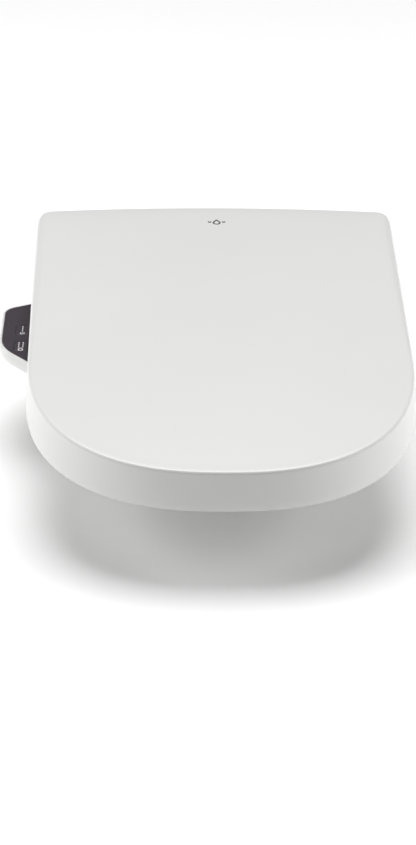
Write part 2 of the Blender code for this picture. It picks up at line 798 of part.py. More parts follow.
def seat_ring(name, section, kind):
    """A ring with the same section all round.

    A section point is (from, distance, below, height): from the hole's edge (0), the rim (1) or
    between them, a distance outwards, and a height under the top or, if below is set, over the
    underside.
    """
    rings = []
    for out, into, bottom in seat_stations():
        across = (out - into).normalized()
        ring = []
        for share, distance, over_bottom, height in section:
            spot = into.lerp(out, share) + across * distance
            z = bottom + height if over_bottom else seat_top(spot.y) + height
            ring.append((spot.x, spot.y, z))
        rings.append(ring)
    return loft(name, rings, kind, closed=True)


def make_seat():
    top, low = False, True
    upper = [
        (0, 0, low, 0), (0, 0, top, -0.0150), (0, 0.003, top, -0.0085), (0, 0.009, top, -0.0055),
        (0.45, 0, top, -0.0035), (0.75, 0, top, -0.0010), (1, -0.0075, top, 0),
        (1, -0.0022, top, -0.0022), (1, 0, top, -0.0090), (1, 0, low, 0),
        (1, -0.003, low, 0), (1, -0.003, top, -0.0095), (1, -0.0075, top, -0.0045),
        (0.45, 0, top, -0.0065), (0, 0.0095, top, -0.0090), (0, 0.003, top, -0.0160),
        (0, 0.003, low, 0),
    ]
    seat_ring("seat_upper_shell", upper, "white_plastic")
    lower = [
        (0, 0.0034, low, 0.0005), (0, 0.0034, low, 0.0035),
        (1, -0.0034, low, 0.0035), (1, -0.0034, low, 0.0005),
    ]
    seat_ring("seat_lower_shell", lower, "white_plastic")
    mat = [
        (0, 0.0112, top, -0.0114), (0, 0.0112, top, -0.0106), (0.45, 0, top, -0.0079),
        (1, -0.0120, top, -0.0066), (1, -0.0120, top, -0.0074), (0.45, 0, top, -0.0087),
    ]
    seat_ring("seat_heater_mat", mat, "heater_film")
    front = SEAT_REAR_Y + GAP
    under = [(front, 0.0522), (-0.090, 0.0552), (-0.040, 0.0600), (-0.010, 0.0715)]
    over = [(-0.014, 0.0925), (-0.060, 0.0850), (front, 0.0775)]
    side_view = under + round_hinge(0.012, -80, 100) + over
    for side, name in ((-1, "left"), (1, "right")):
        low_x, high_x = sorted((side * ARM_INNER, side * ARM_OUTER))
        bore = circle(0.0046, (HINGE_Y, HINGE_Z))
        slab("seat_arm_" + name, [side_view, bore], low_x, high_x, "white_plastic", "X")
    hinge_rod("seat_damper_shaft", SHAFT_RADIUS, 0.1403, 0.1580, "steel")


SEAT_FEET = {
    "seat_foot_front_left": (-0.118, -0.385),
    "seat_foot_front_right": (0.118, -0.385),
    "seat_foot_rear_left": (-0.148, -0.190),
    "seat_foot_rear_right": (0.148, -0.190),
}


def make_seat_feet():
    for name, (x, y) in SEAT_FEET.items():
        top = SEAT_BOTTOM_Z + SEAT_BOTTOM_SLOPE * (y - LID_FRONT_Y) - 0.0006
        sole = rounded(rectangle(x - 0.010, y - 0.018, x + 0.010, y + 0.018, 0.009))
        soften(slab(name, [sole], 0.0, top, "rubber"), 0.0015, 1)


# Lid ----------------------------------------------------------------------------------------


def lid_ring(inset, use_top, offset):
    """One loop of the lid: inset from the top's edge, a height from its top or its hem."""
    corner = max(LID_CORNER - inset, 0.004)
    outline = d_outline(
        LID_HALF_WIDTH - inset, LID_FRONT_Y + inset, LID_CURVE - inset, LID_REAR_Y - inset, corner,
        LID_REAR_BOW,
    )
    edge = d_outline(LID_HALF_WIDTH, LID_FRONT_Y, LID_CURVE, LID_REAR_Y, LID_CORNER, LID_REAR_BOW)
    ring = []
    for (x, y), (_, edge_y) in zip(outline, edge):
        if use_top:
            z = lid_top(y) + offset
        else:
            lift = smoothstep(LID_REAR_Y - LID_CORNER, LID_REAR_Y - 0.002, edge_y)
            z = lid_hem(y) * (1 - lift) + (lid_top(y) - REAR_LIP) * lift + offset
        ring.append((x, y, z))
    return ring


def make_lid():
    skin = LID_SKIN
    rings = [
        lid_ring(0.100, True, LID_CROWN - skin),
        lid_ring(0.030, True, -skin),
        lid_ring(0.008, True, -skin - 0.0006),
        lid_ring(skin, True, -skin - 0.0035),
        lid_ring(skin - LID_FLARE, False, 0.0),
        lid_ring(0.0008 - LID_FLARE, False, 0.0),
        lid_ring(-LID_FLARE, False, 0.0010),
        lid_ring(-0.0002, True, -0.0038),
        lid_ring(0.0009, True, -0.0011),
        lid_ring(0.0038, True, 0.0),
        lid_ring(0.030, True, 0.0008),
        lid_ring(0.100, True, LID_CROWN),
    ]
    loft("lid_shell", rings, "white_plastic")
    roof = lid_top(-0.010) - skin - 0.0012
    rear = lid_top(0.014) - skin - 0.0012
    lug = round_hinge(0.011, 180, 360) + [(HINGE_Y + 0.011, rear), (HINGE_Y - 0.011, roof)]
    pad_y = -0.400
    pad_low = seat_top(pad_y + 0.008) + 0.0006
    pad_high = lid_top(pad_y - 0.008) - skin - 0.0006
    for side, name in ((-1, "left"), (1, "right")):
        low_x, high_x = sorted((side * LUG_INNER, side * LUG_OUTER))
        bore = circle(SHAFT_RADIUS + GAP, (HINGE_Y, HINGE_Z))
        slab("lid_lug_" + name, [lug, bore], low_x, high_x, "white_plastic", "X")
        x = side * 0.125
        spot = rounded(rectangle(x - 0.006, pad_y - 0.008, x + 0.006, pad_y + 0.008, 0.005))
        slab("lid_pad_" + name, [spot], pad_low, pad_high, "rubber")
    hinge_rod("lid_damper_shaft", SHAFT_RADIUS, -0.1403, -0.1835, "steel")
    hinge_rod("lid_pivot_pin", SHAFT_RADIUS, 0.1583, 0.1835, "steel")


# Assembly -----------------------------------------------------------------------------------

LID_PIECES = (
    "lid_shell", "lid_lug_left", "lid_lug_right", "lid_pad_left", "lid_pad_right",
    "lid_damper_shaft", "lid_pivot_pin",
)
SEAT_PIECES = (
    "seat_upper_shell", "seat_lower_shell", "seat_heater_mat", "seat_arm_left", "seat_arm_right",
    "seat_damper_shaft", *SEAT_FEET,
)

make_mount()
make_base()
make_cover()
make_guard()
make_water_parts()
make_electrics()
make_deodoriser()
make_release()
make_cradle()
make_nozzles()
make_dampers()
make_panel()
make_seat()
make_seat_feet()
make_lid()

carry(pivot("seat_axis", (0, HINGE_Y, HINGE_Z)), *[parts.objects[name] for name in SEAT_PIECES])
carry(pivot("lid_axis", (0, HINGE_Y, HINGE_Z)), *[parts.objects[name] for name in LID_PIECES])
bpy.context.view_layer.update()
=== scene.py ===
"""Looks for an electric bidet seat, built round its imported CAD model.

Units are metres in the CAD model's own frame: +Z is up, the front of the seat is towards -Y, the
side panel towards -X, and the origin lies on the bowl's deck midway between the mounting bolts.
"""

import json
import math

import bmesh
import bpy
from mathutils import Matrix, Vector
from mathutils.bvhtree import BVHTree


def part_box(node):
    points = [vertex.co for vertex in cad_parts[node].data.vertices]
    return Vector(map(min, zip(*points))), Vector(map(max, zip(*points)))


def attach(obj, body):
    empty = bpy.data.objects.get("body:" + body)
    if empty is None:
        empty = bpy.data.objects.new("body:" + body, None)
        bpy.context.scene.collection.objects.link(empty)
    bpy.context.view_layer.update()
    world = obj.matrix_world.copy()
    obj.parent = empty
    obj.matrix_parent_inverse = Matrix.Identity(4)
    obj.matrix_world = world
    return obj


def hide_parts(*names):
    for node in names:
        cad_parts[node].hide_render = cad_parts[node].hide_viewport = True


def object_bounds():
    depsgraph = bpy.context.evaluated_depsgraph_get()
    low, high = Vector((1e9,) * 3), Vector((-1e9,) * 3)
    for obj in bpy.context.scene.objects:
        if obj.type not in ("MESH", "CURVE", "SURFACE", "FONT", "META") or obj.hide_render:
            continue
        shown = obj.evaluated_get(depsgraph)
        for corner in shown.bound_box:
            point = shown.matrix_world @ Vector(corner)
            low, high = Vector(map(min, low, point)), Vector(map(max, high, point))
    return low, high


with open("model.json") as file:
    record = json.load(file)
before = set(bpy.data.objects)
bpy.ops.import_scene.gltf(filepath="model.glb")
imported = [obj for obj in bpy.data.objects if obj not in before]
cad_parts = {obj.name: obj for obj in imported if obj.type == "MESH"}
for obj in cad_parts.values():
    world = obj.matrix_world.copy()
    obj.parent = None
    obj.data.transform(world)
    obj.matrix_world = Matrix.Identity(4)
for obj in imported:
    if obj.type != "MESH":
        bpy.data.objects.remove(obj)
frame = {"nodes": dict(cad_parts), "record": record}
cad_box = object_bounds()
scene = bpy.context.scene

# Driving dimensions -----------------------

GAP = 0.0003
CUT_ROUNDING = 0.0002
EDGE_STEPS = 5
CORNER_STEPS = 10

# Lid
LID_FLARE = 0.0027
LID_REAR_BOW = 0.008
LID_SKIN = 0.0035
LID_RIM, LID_FILLET, LID_ROOF_STEP = 0.0012, 0.0010, 0.0006
LID_CORNER = 0.016
LID_CURVE = 0.210
LID_SPINE_INSET, LID_SPINE_CORNER = 0.172, 0.010
LID_CROWN = 0.0015
LID_REAR_LIP = 0.008
LID_REAR_REACH = 0.0022
FRONT_POWER = 2.42
TOP_Z, TOP_SLOPE = 0.0548, 0.1298
HEM_Z, HEM_SLOPE = 0.0149, 0.1078
FRONT_EDGE_RADIUS, SIDE_EDGE_RADIUS, REAR_EDGE_RADIUS = 0.0030, 0.0105, 0.0032
EDGE_FULLNESS = 0.30
CRISP_TO_Y, SOFT_FROM_Y = -0.36, -0.10

lid_low, lid_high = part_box("lid_shell")
LID_HALF_WIDTH = lid_high.x - LID_FLARE
LID_FRONT_Y = lid_low.y + LID_FLARE
LID_REAR_Y = lid_high.y - LID_FLARE - LID_REAR_BOW

HINGE_Y, HINGE_Z = 0.004, 0.084
EYE_BORE, COVER_BORE = 0.0046, 0.005
HINGE_SHAFT = Matrix.Translation((0, HINGE_Y, HINGE_Z)) @ Matrix.Rotation(math.pi / 2, 4, "Y")

# Seat ring
SEAT_HALF_WIDTH, SEAT_FRONT_Y, SEAT_REAR_Y = 0.1815, -0.467, -0.117
SEAT_TOP_Z, SEAT_TOP_SLOPE = 0.042, 0.105
SEAT_BOTTOM_Z, SEAT_BOTTOM_SLOPE = 0.0135, 0.020
SEAT_CURVE, SEAT_CORNER = 0.199, 0.014
BRIDGE_BOTTOM_Z, BRIDGE_DEPTH = 0.050, 0.018
BRIDGE_HALF_WIDTH, BRIDGE_END_X = 0.135, 0.175
HOLE_HALF_WIDTH, HOLE_FRONT_Y, HOLE_REAR_Y = 0.106, -0.410, -0.146
HOLE_CURVE, HOLE_CORNER = 0.150, 0.075
SEAT_PLAN_STEPS = (10, 7, 18, 80)
SEAT_FULL_WIDTH = 0.046

# Main unit
base_low, base_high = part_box("body_base")
BASE_FRONT_CORNER, BASE_REAR_CORNER = 0.008, 0.018
BASE_UNDERSIDE_Z, BASE_FLOOR_Z = 0.008, 0.011
WALL = 0.003
COVER_HALF_WIDTH = 0.146
COVER_WALL = 0.0025
BARREL_RADIUS = 0.026
NOSE_Y, NOSE_Z, NOSE_RADIUS = -0.089, 0.0635, 0.024
COVER_FOOT_Z = base_high.z + GAP
DECK_Z = 0.0388
HOOD_REAR_Y = 0.012
HEM_GAP = 0.006
VENT_PITCH, VENT_COUNT = Vector((0.0052, 0.0, 0.0)), 10
VENT_LOW, VENT_HIGH = Vector((0.088, 0.036, 0.0150)), Vector((0.0904, 0.050, 0.0310))
INLET_PLACE, INLET_HOLE = Matrix.Translation((-0.158, 0.018, 0.0)), 0.0085
GLAND_PLACE, GLAND_HOLE = Matrix.Translation((0.158, 0.026, 0.0)), 0.0068
PLATE_SLOT = ((-0.110, 0.030, -0.001), (0.110, 0.050, 0.0075))
WINDOW_IN_BASE = ((-0.036, -0.120, 0.0125), (0.036, -0.105, 0.040))
WINDOW_IN_HOOD = ((-0.036, -0.120, 0.030), (0.036, -0.105, 0.050))
BUTTON_HOLE = ((0.180, 0.004, 0.014), (0.190, 0.028, 0.026))
FILTER_HOLE = ((0.180, -0.092, 0.0125), (0.190, -0.048, 0.0315))

# Nozzles
NOZZLE_TILT = math.radians(25)
NOZZLE_TIP = Vector((0.0, -0.105, 0.030))
NOZZLE_X, NOZZLE_RADIUS, NOZZLE_LENGTH = 0.012, 0.006, 0.125
NOZZLE_DOME, NOZZLE_GROOVE = 0.0055, 0.0003
SPRAY_RADIUS, SPRAY_START, SPRAY_SPREAD, SPRAY_STEP = 0.00055, 0.0080, 0.0022, 0.0016
MODULE, PINION_AT, PITCH_LINE = 0.0012, 0.038, 0.0079
RACK_START, RACK_END, RACK_BASE = 0.016, 0.1215, 0.0040
RACK_OFFSET, RACK_HALF_WIDTH = 0.0005, 0.0025

# Side panel
PANEL = [
    (-0.1863, -0.2085, 0.004),
    (-0.1863, -0.0415, 0.003),
    (-0.2303, -0.0633, 0.022),
    (-0.2303, -0.1669, 0.065),
    (-0.1967, -0.2085, 0.008),
]
PANEL_RIM, PANEL_WALL, PANEL_BELLY, COLLAR_ROUNDING = 0.003, 0.0025, 0.008, 0.0016
GLASS_DEPTH = 0.0021
KEY_CORNER, KEY_ROUNDING = 0.0027, 0.00025
BODY_OF_KEY = {"key_power": "power_key", "key_wash": "wash_key"}

# Signs
INK = 0.00005
KEY_SIGN_Y, KEY_DASH_Y = -0.0085, (-0.0020, 0.0030, 0.0080)
LID_SIGN_X, LID_SIGN_Y = 0.002, 0.0040

# Studio
FLOOR_TONE, FLOOR_SIZE = Vector((0.97, 0.97, 0.97)), 16.0
WORLD_STRENGTH = 0.08
OVERHEAD_POWER, OVERHEAD_SPREAD, OVERHEAD_TILT = 2.5, math.radians(45), math.radians(-20)
SOFTBOX_SIZE = 1.4
SOFTBOX_TARGET = Vector((0.0, -0.25, 0.05))
CAMERA_PLACE = (-0.07256, -2.51576, 1.09617)
CAMERA_YAW, CAMERA_PITCH, CAMERA_ROLL = 0.026893, 0.451866, 0.012075
CAMERA_SENSOR, CAMERA_LENS = 36.0, 104.41

# Materials --------------------------------


class Finish:
    """A Principled material on object coordinates, with short ways to add detail."""

    def __init__(self, name, roughness, metallic=0.0, **settings):
        self.material = bpy.data.materials.new(name + "_finish")
        self.material.use_nodes = True
        self.tree = self.material.node_tree
        self.shader = self.tree.nodes["Principled BSDF"]
        self.shader.inputs["Roughness"].default_value = roughness
        self.shader.inputs["Metallic"].default_value = metallic
        for socket, value in settings.items():
            self.shader.inputs[socket.replace("_", " ")].default_value = value
        self.place = self.tree.nodes.new("ShaderNodeTexCoord").outputs["Object"]

    def node(self, kind, inputs=None, **settings):
        made = self.tree.nodes.new(kind)
        for key, value in settings.items():
            setattr(made, key, value)
        for key, value in (inputs or {}).items():
            if isinstance(value, bpy.types.NodeSocket):
                self.tree.links.new(value, made.inputs[key])
            else:
                made.inputs[key].default_value = value
        return made

    def noise(self, scale, detail=2.0, stretch=None):
        place = self.place
        if stretch:
            mapping = self.node("ShaderNodeMapping", {"Vector": place, "Scale": stretch})
            place = mapping.outputs["Vector"]
        inputs = {"Vector": place, "Scale": scale, "Detail": detail}
        return self.node("ShaderNodeTexNoise", inputs).outputs["Fac"]

    def cells(self, scale, feature="F1", distance="EUCLIDEAN"):
        inputs = {"Vector": self.place, "Scale": scale}
        made = self.node("ShaderNodeTexVoronoi", inputs, feature=feature, distance=distance)
        return made.outputs["Distance"]

    def bands(self, scale, direction="X", distortion=0.0):
        inputs = {"Vector": self.place, "Scale": scale, "Distortion": distortion}
        return self.node("ShaderNodeTexWave", inputs, bands_direction=direction).outputs["Fac"]

    def span(self, value, low, high, from_low=0.3, from_high=0.7):
        inputs = {
            "Value": value, "From Min": from_low, "From Max": from_high,
            "To Min": low, "To Max": high,
        }
        return self.node("ShaderNodeMapRange", inputs).outputs["Result"]

    def mix(self, factor, first, second):
        made = self.node("ShaderNodeMix", {0: factor}, data_type="RGBA")
        for key, value in ((6, first), (7, second)):
            if isinstance(value, bpy.types.NodeSocket):
                self.tree.links.new(value, made.inputs[key])
            else:
                made.inputs[key].default_value = (*value, 1.0)
        return made.outputs[2]

    def color(self, source):
        self.tree.links.new(source, self.shader.inputs["Base Color"])

    def roughness(self, source):
        self.tree.links.new(source, self.shader.inputs["Roughness"])

    def bump(self, height, distance, strength=1.0, below=None):
        inputs = {"Height": height, "Distance": distance, "Strength": strength}
        if below is not None:
            inputs["Normal"] = below
        normal = self.node("ShaderNodeBump", inputs).outputs["Normal"]
        self.tree.links.new(normal, self.shader.inputs["Normal"])
        return normal


def moulded(name, light, dark, rough_low, rough_high, grain, grain_depth, **settings):
    """Injection-moulded plastic: a slow tint, a spark-eroded grain and slight sink waves."""
    finish = Finish(name, (rough_low + rough_high) / 2, **settings)
    finish.color(finish.mix(finish.span(finish.noise(5.0, 1.0), 0.0, 1.0, 0.0, 1.0), dark, light))
    finish.roughness(finish.span(finish.noise(9.0, 1.0), rough_low, rough_high, 0.0, 1.0))
    waves = finish.bump(finish.noise(11.0, 0.0), 0.00020, 0.5)
    finish.bump(finish.noise(grain, 1.0), grain_depth, 0.5, waves)
    return finish


def white_plastic():
    return moulded(
        "white_plastic", (0.670, 0.670, 0.658), (0.660, 0.660, 0.648), 0.29, 0.36, 1800.0,
        0.000004, Coat_Weight=0.25, Coat_Roughness=0.16,
    )


def black_panel():
    return moulded(
        "black_panel", (0.060, 0.050, 0.060), (0.053, 0.044, 0.053), 0.14, 0.26, 1500.0,
        0.000004, Coat_Weight=0.4, Coat_Roughness=0.08,
    )


def grey_plastic():
    return moulded(
        "grey_plastic", (0.44, 0.45, 0.46), (0.38, 0.39, 0.40), 0.44, 0.58, 1500.0, 0.00004
    )


def dark_plastic():
    return moulded(
        "dark_plastic", (0.066, 0.066, 0.072), (0.046, 0.046, 0.050), 0.46, 0.62, 1500.0, 0.00004
    )


def rubber():
    return moulded(
        "rubber", (0.58, 0.58, 0.57), (0.49, 0.49, 0.48), 0.72, 0.88, 900.0, 0.00006,
        Sheen_Weight=0.3,
    )


def turned_metal(name, light, dark, roughness):
    """Bare metal with fine lathe marks, stains and slightly uneven polish."""
    finish = Finish(name, roughness, 1.0)
    stains = finish.span(finish.noise(90.0, 5.0), 0.0, 1.0)
    finish.color(finish.mix(stains, dark, light))
    marks = finish.noise(60.0, 3.0, (1.0, 1.0, 60.0))
    finish.roughness(finish.span(marks, roughness - 0.08, roughness + 0.12))
    finish.bump(marks, 0.00002, 0.5)
    return finish


def steel():
    return turned_metal("steel", (0.66, 0.66, 0.67), (0.50, 0.50, 0.51), 0.38)


def brass():
    return turned_metal("brass", (0.74, 0.58, 0.27), (0.55, 0.41, 0.17), 0.38)


def board():
    """A circuit board: solder mask over faint tracks, with tinned pads."""
    finish = Finish("board", 0.4, Coat_Weight=0.3, Coat_Roughness=0.2)
    tracks = finish.span(finish.cells(180.0, "DISTANCE_TO_EDGE"), 1.0, 0.0, 0.04, 0.06)
    masked = finish.mix(tracks, (0.012, 0.115, 0.050), (0.030, 0.190, 0.085))
    pads = finish.span(finish.cells(330.0, "F1", "CHEBYCHEV"), 1.0, 0.0, 0.16, 0.19)
    finish.color(finish.mix(pads, masked, (0.62, 0.61, 0.58)))
    finish.roughness(finish.span(finish.noise(300.0, 3.0), 0.32, 0.5))
    finish.bump(tracks, 0.00004, 0.6)
    return finish


def hose():
    return moulded(
        "hose", (0.80, 0.82, 0.80), (0.72, 0.75, 0.72), 0.36, 0.5, 700.0, 0.00003,
        Subsurface_Weight=0.25, Subsurface_Scale=0.002,
    )


def heater_film():
    """Polyimide film with a heating track folded back and forth."""
    finish = Finish("heater_film", 0.38)
    track = finish.span(finish.bands(140.0, "Y", 2.0), 0.0, 1.0, 0.42, 0.5)
    finish.color(finish.mix(track, (0.33, 0.17, 0.06), (0.62, 0.34, 0.12)))
    finish.roughness(finish.span(finish.noise(60.0, 3.0), 0.3, 0.48))
    finish.bump(track, 0.00005, 0.8)
    return finish


def icon_ink(name, light, dark):
    finish = Finish(name, 0.45)
    finish.color(finish.mix(finish.span(finish.noise(900.0, 3.0), 0.0, 1.0), dark, light))
    finish.bump(finish.noise(4000.0), 0.000004, 0.5)
    return finish


MATERIALS = {
    made.material.name.removesuffix("_finish"): made.material
    for made in (
        white_plastic(), black_panel(), grey_plastic(), dark_plastic(), rubber(), steel(),
        brass(), board(), hose(), heater_film(),
        icon_ink("light_ink", (0.80, 0.80, 0.80), (0.72, 0.72, 0.72)),
        icon_ink("dark_ink", (0.075, 0.080, 0.085), (0.055, 0.058, 0.062)),
    )
}

# Building blocks --------------------------


def smoothstep(low, high, value):
    t = min(max((value - low) / (high - low), 0.0), 1.0)
    return t * t * (3 - 2 * t)


def blended(first, second, share):
    return first + (second - first) * share


def new_object(name, data):
    made = bpy.data.objects.new(name, data)
    scene.collection.objects.link(made)
    return made


def mesh_object(name, bm):
    """Turns a bmesh into an object whose faces look outwards."""
    bmesh.ops.recalc_face_normals(bm, faces=bm.faces)
    mesh = bpy.data.meshes.new(name)
    bm.to_mesh(mesh)
    bm.free()
    return new_object(name, mesh)


def smooth(mesh, sharp):
    mesh.shade_smooth()
    mesh.set_sharp_from_angle(angle=math.radians(sharp))


def finish_piece(name, bm, finish, body, stands_for=(), sharp=40):
    """Turns a bmesh into a piece that rides on a body and stands for some CAD nodes."""
    piece = mesh_object(name, bm)
    smooth(piece.data, sharp)
    piece.data.materials.append(MATERIALS[finish])
    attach(piece, body)
    if stands_for:
        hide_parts(*stands_for)
    return piece


def add_loft(bm, rings, closed=False):
    """Faces through rings of equal length: capped at both ends, or closed on itself."""
    loops = [[bm.verts.new(point) for point in ring] for ring in rings]
    count = len(rings[0])
    pairs = list(zip(loops, loops[1:]))
    if closed:
        pairs.append((loops[-1], loops[0]))
    for first, second in pairs:
        for i in range(count):
            j = (i + 1) % count
            bm.faces.new((first[i], first[j], second[j], second[i]))
    if not closed:
        bm.faces.new(loops[0][::-1])
        bm.faces.new(loops[-1])


def loft_piece(name, rings, *settings, closed=False):
    """A piece from one loft. The settings are those of finish_piece."""
    bm = bmesh.new()
    add_loft(bm, rings, closed)
    return finish_piece(name, bm, *settings)


def on_axis(axis, u, v, w):
    """(u, v) in the plane across an axis and w along it, as a point."""
    return {"X": (w, u, v), "Y": (u, w, v), "Z": (u, v, w)}[axis]


def rounded(corners, steps=CORNER_STEPS):
    """A closed outline through (x, y, radius) corners, each corner an arc."""
    outline = []
    for i, (x, y, radius) in enumerate(corners):
        here = Vector((x, y))
        before = (Vector(corners[i - 1][:2]) - here).normalized()
        after = (Vector(corners[(i + 1) % len(corners)][:2]) - here).normalized()
        half = before.angle(after) / 2
        reach = radius / math.tan(half)
        centre = here + (before + after).normalized() * radius / math.sin(half)
        first = here + before * reach - centre
        last = here + after * reach - centre
        sweep = first.angle_signed(last)
        for k in range(steps + 1):
            turn = -sweep * k / steps
            cos, sin = math.cos(turn), math.sin(turn)
            outline.append(
                (centre.x + first.x * cos - first.y * sin, centre.y + first.x * sin + first.y * cos)
            )
    return outline


def shrink(corners, distance):
    """The same (x, y, radius) corners, anticlockwise, with every side moved inwards."""
    moved = []
    for i, (x, y, radius) in enumerate(corners):
        here = Vector((x, y))
        into = (here - Vector(corners[i - 1][:2])).normalized()
        out = (Vector(corners[(i + 1) % len(corners)][:2]) - here).normalized()
        in_normal = Vector((-into.y, into.x))
        out_normal = Vector((-out.y, out.x))
        spot = here + (in_normal + out_normal) * distance / (1 + in_normal.dot(out_normal))
        moved.append((spot.x, spot.y, max(radius - distance, 0.0004)))
    return moved


def rectangle(x0, y0, x1, y1, radius):
    return [(x1, y0, radius), (x1, y1, radius), (x0, y1, radius), (x0, y0, radius)]


def quarter(steps=EDGE_STEPS):
    """How far a rounded edge of radius 1 is from its two sides, as pairs over a quarter turn."""
    turns = [math.pi / 2 * k / steps for k in range(steps + 1)]
    return [(1 - math.sin(turn), 1 - math.cos(turn)) for turn in turns]


def edge_profile(low, high, round_low, round_high):
    """(inset, height) pairs up the side of a block whose rims are rounded."""
    start = [(round_low * inset, low + round_low * rise) for inset, rise in quarter()]
    end = [(round_high * inset, high - round_high * rise) for inset, rise in quarter()]
    return start + end[::-1]


def layers(corners, pairs, axis="Z", steps=CORNER_STEPS):
    """Rings of a shape with rounded corners at (inset, height) pairs along an axis."""
    rings = []
    for inset, w in pairs:
        outline = rounded(shrink(corners, inset), steps)
        rings.append([on_axis(axis, u, v, w) for u, v in outline])
    return rings


def add_block(bm, corners, low, high, rounding, axis="Z", steps=CORNER_STEPS):
    """A flat shape with rounded corners and rims, from low to high along an axis."""
    add_loft(bm, layers(corners, edge_profile(low, high, rounding, rounding), axis, steps))


def add_turned(bm, profile, place, steps=32, ripple=None, closed=False):
    """A solid of revolution from (radius, height) pairs, placed by a matrix.

    ripple gives a change in radius for a height and a turn, as a share of a full turn. A closed
    profile leaves a hole along the axis.
    """
    rings = []
    for radius, height in profile:
        ring = []
        for i in range(steps):
            share = i / steps
            reach = radius + (ripple(height, share) if ripple else 0.0)
            turn = 2 * math.pi * share
            ring.append(place @ Vector((reach * math.cos(turn), reach * math.sin(turn), height)))
        rings.append(ring)
    add_loft(bm, rings, closed)


def thread(pitch, depth, low, high):
    """The ripple of a screw thread between two heights, with a run-out at both ends."""

    def ripple(height, share):
        if not low < height < high:
            return 0.0
        fade = min(1.0, (height - low) / pitch, (high - height) / pitch)
        phase = (height / pitch - share) % 1.0
        return -depth * fade * (1 - abs(2 * phase - 1))

    return ripple


def levels_between(radius, low, high, step):
    count = max(2, round((high - low) / step))
    return [(radius, high + (low - high) * i / count) for i in range(count + 1)]


def cut_with(piece, cutters):
    """Cuts a mesh piece with other meshes, which are then removed."""
    for number, cutter in enumerate(cutters):
        boolean = piece.modifiers.new("cut_%d" % number, "BOOLEAN")
        boolean.object = cutter
        boolean.operation = "DIFFERENCE"
        boolean.solver = "EXACT"
    bpy.context.view_layer.update()
    graph = bpy.context.evaluated_depsgraph_get()
    mesh = bpy.data.meshes.new_from_object(piece.evaluated_get(graph))
    piece.modifiers.clear()
    old = piece.data
    piece.data = mesh
    bpy.data.meshes.remove(old)
    for cutter in cutters:
        bpy.data.objects.remove(cutter)
    smooth(mesh, 30)


def cutter(build):
    """A hidden mesh object made by build(bm), for a Boolean."""
    bm = bmesh.new()
    build(bm)
    made = mesh_object("cutter", bm)
    made.hide_render = True
    return made


def block_cutter(corners, low, high, steps=CORNER_STEPS):
    return cutter(lambda bm: add_block(bm, corners, low, high, CUT_ROUNDING, steps=steps))


def box_cutter(low, high, radius=0.0008):
    return block_cutter(rectangle(*low[:2], *high[:2], radius), low[2], high[2], 4)


def bore_cutter(radius, low, high, place, steps=32):
    """A round hole between two heights on a matrix's own z axis."""
    return cutter(lambda bm: add_turned(bm, [(radius, low), (radius, high)], place, steps))


# Outlines ---------------------------------


def arc_points(middle, radius, start, end, steps=20):
    """Points on an arc between two angles in degrees."""
    turns = [math.radians(blended(start, end, i / steps)) for i in range(steps + 1)]
    return [(middle[0] + radius * math.cos(a), middle[1] + radius * math.sin(a)) for a in turns]


def d_outline(half_width, front_y, curve, rear_y, corner, bow=0.0, steps=(20, 14, 36, 160)):
    """A D-shaped plan, anticlockwise from above, from where the right side leaves the front."""
    side_steps, corner_steps, rear_steps, front_steps = steps
    straight_y = front_y + curve
    corner_y = rear_y - corner
    flat = half_width - corner
    shares = [i / side_steps for i in range(side_steps)]
    points = [(half_width, blended(straight_y, corner_y, share)) for share in shares]
    points += arc_points((flat, corner_y), corner, 0, 90, corner_steps)[:-1]
    for i in range(rear_steps):
        x = flat * (1 - 2 * i / rear_steps)
        points.append((x, rear_y + bow * (1 - (x / flat) ** 2)))
    points += arc_points((-flat, corner_y), corner, 90, 180, corner_steps)[:-1]
    points += [(-half_width, blended(corner_y, straight_y, share)) for share in shares]
    for i in range(front_steps):
        turn = math.pi * i / front_steps
        across = abs(math.cos(turn)) ** (2 / FRONT_POWER) * (-1 if turn < math.pi / 2 else 1)
        ahead = math.sin(turn) ** (2 / FRONT_POWER)
        points.append((half_width * across, straight_y - curve * ahead))
    return points


def outward_normals(points):
    normals = []
    for i in range(len(points)):
        along = Vector(points[(i + 1) % len(points)]) - Vector(points[i - 1])
        normals.append(Vector((along.y, -along.x)).normalized())
    return normals


def lid_top(y):
    return TOP_Z + TOP_SLOPE * (y - LID_FRONT_Y)


def lid_hem(y):
    return HEM_Z + HEM_SLOPE * (y - LID_FRONT_Y)


def seat_top(y):
    return SEAT_TOP_Z + SEAT_TOP_SLOPE * (y - LID_FRONT_Y)


# Lid --------------------------------------


def lid_edge_radius(y):
    """The rounding of the top's edge: crisp at the front, soft along the sides."""
    side = blended(FRONT_EDGE_RADIUS, SIDE_EDGE_RADIUS, smoothstep(CRISP_TO_Y, SOFT_FROM_Y, y))
    return blended(side, REAR_EDGE_RADIUS, smoothstep(LID_REAR_Y - 0.014, LID_REAR_Y - 0.001, y))


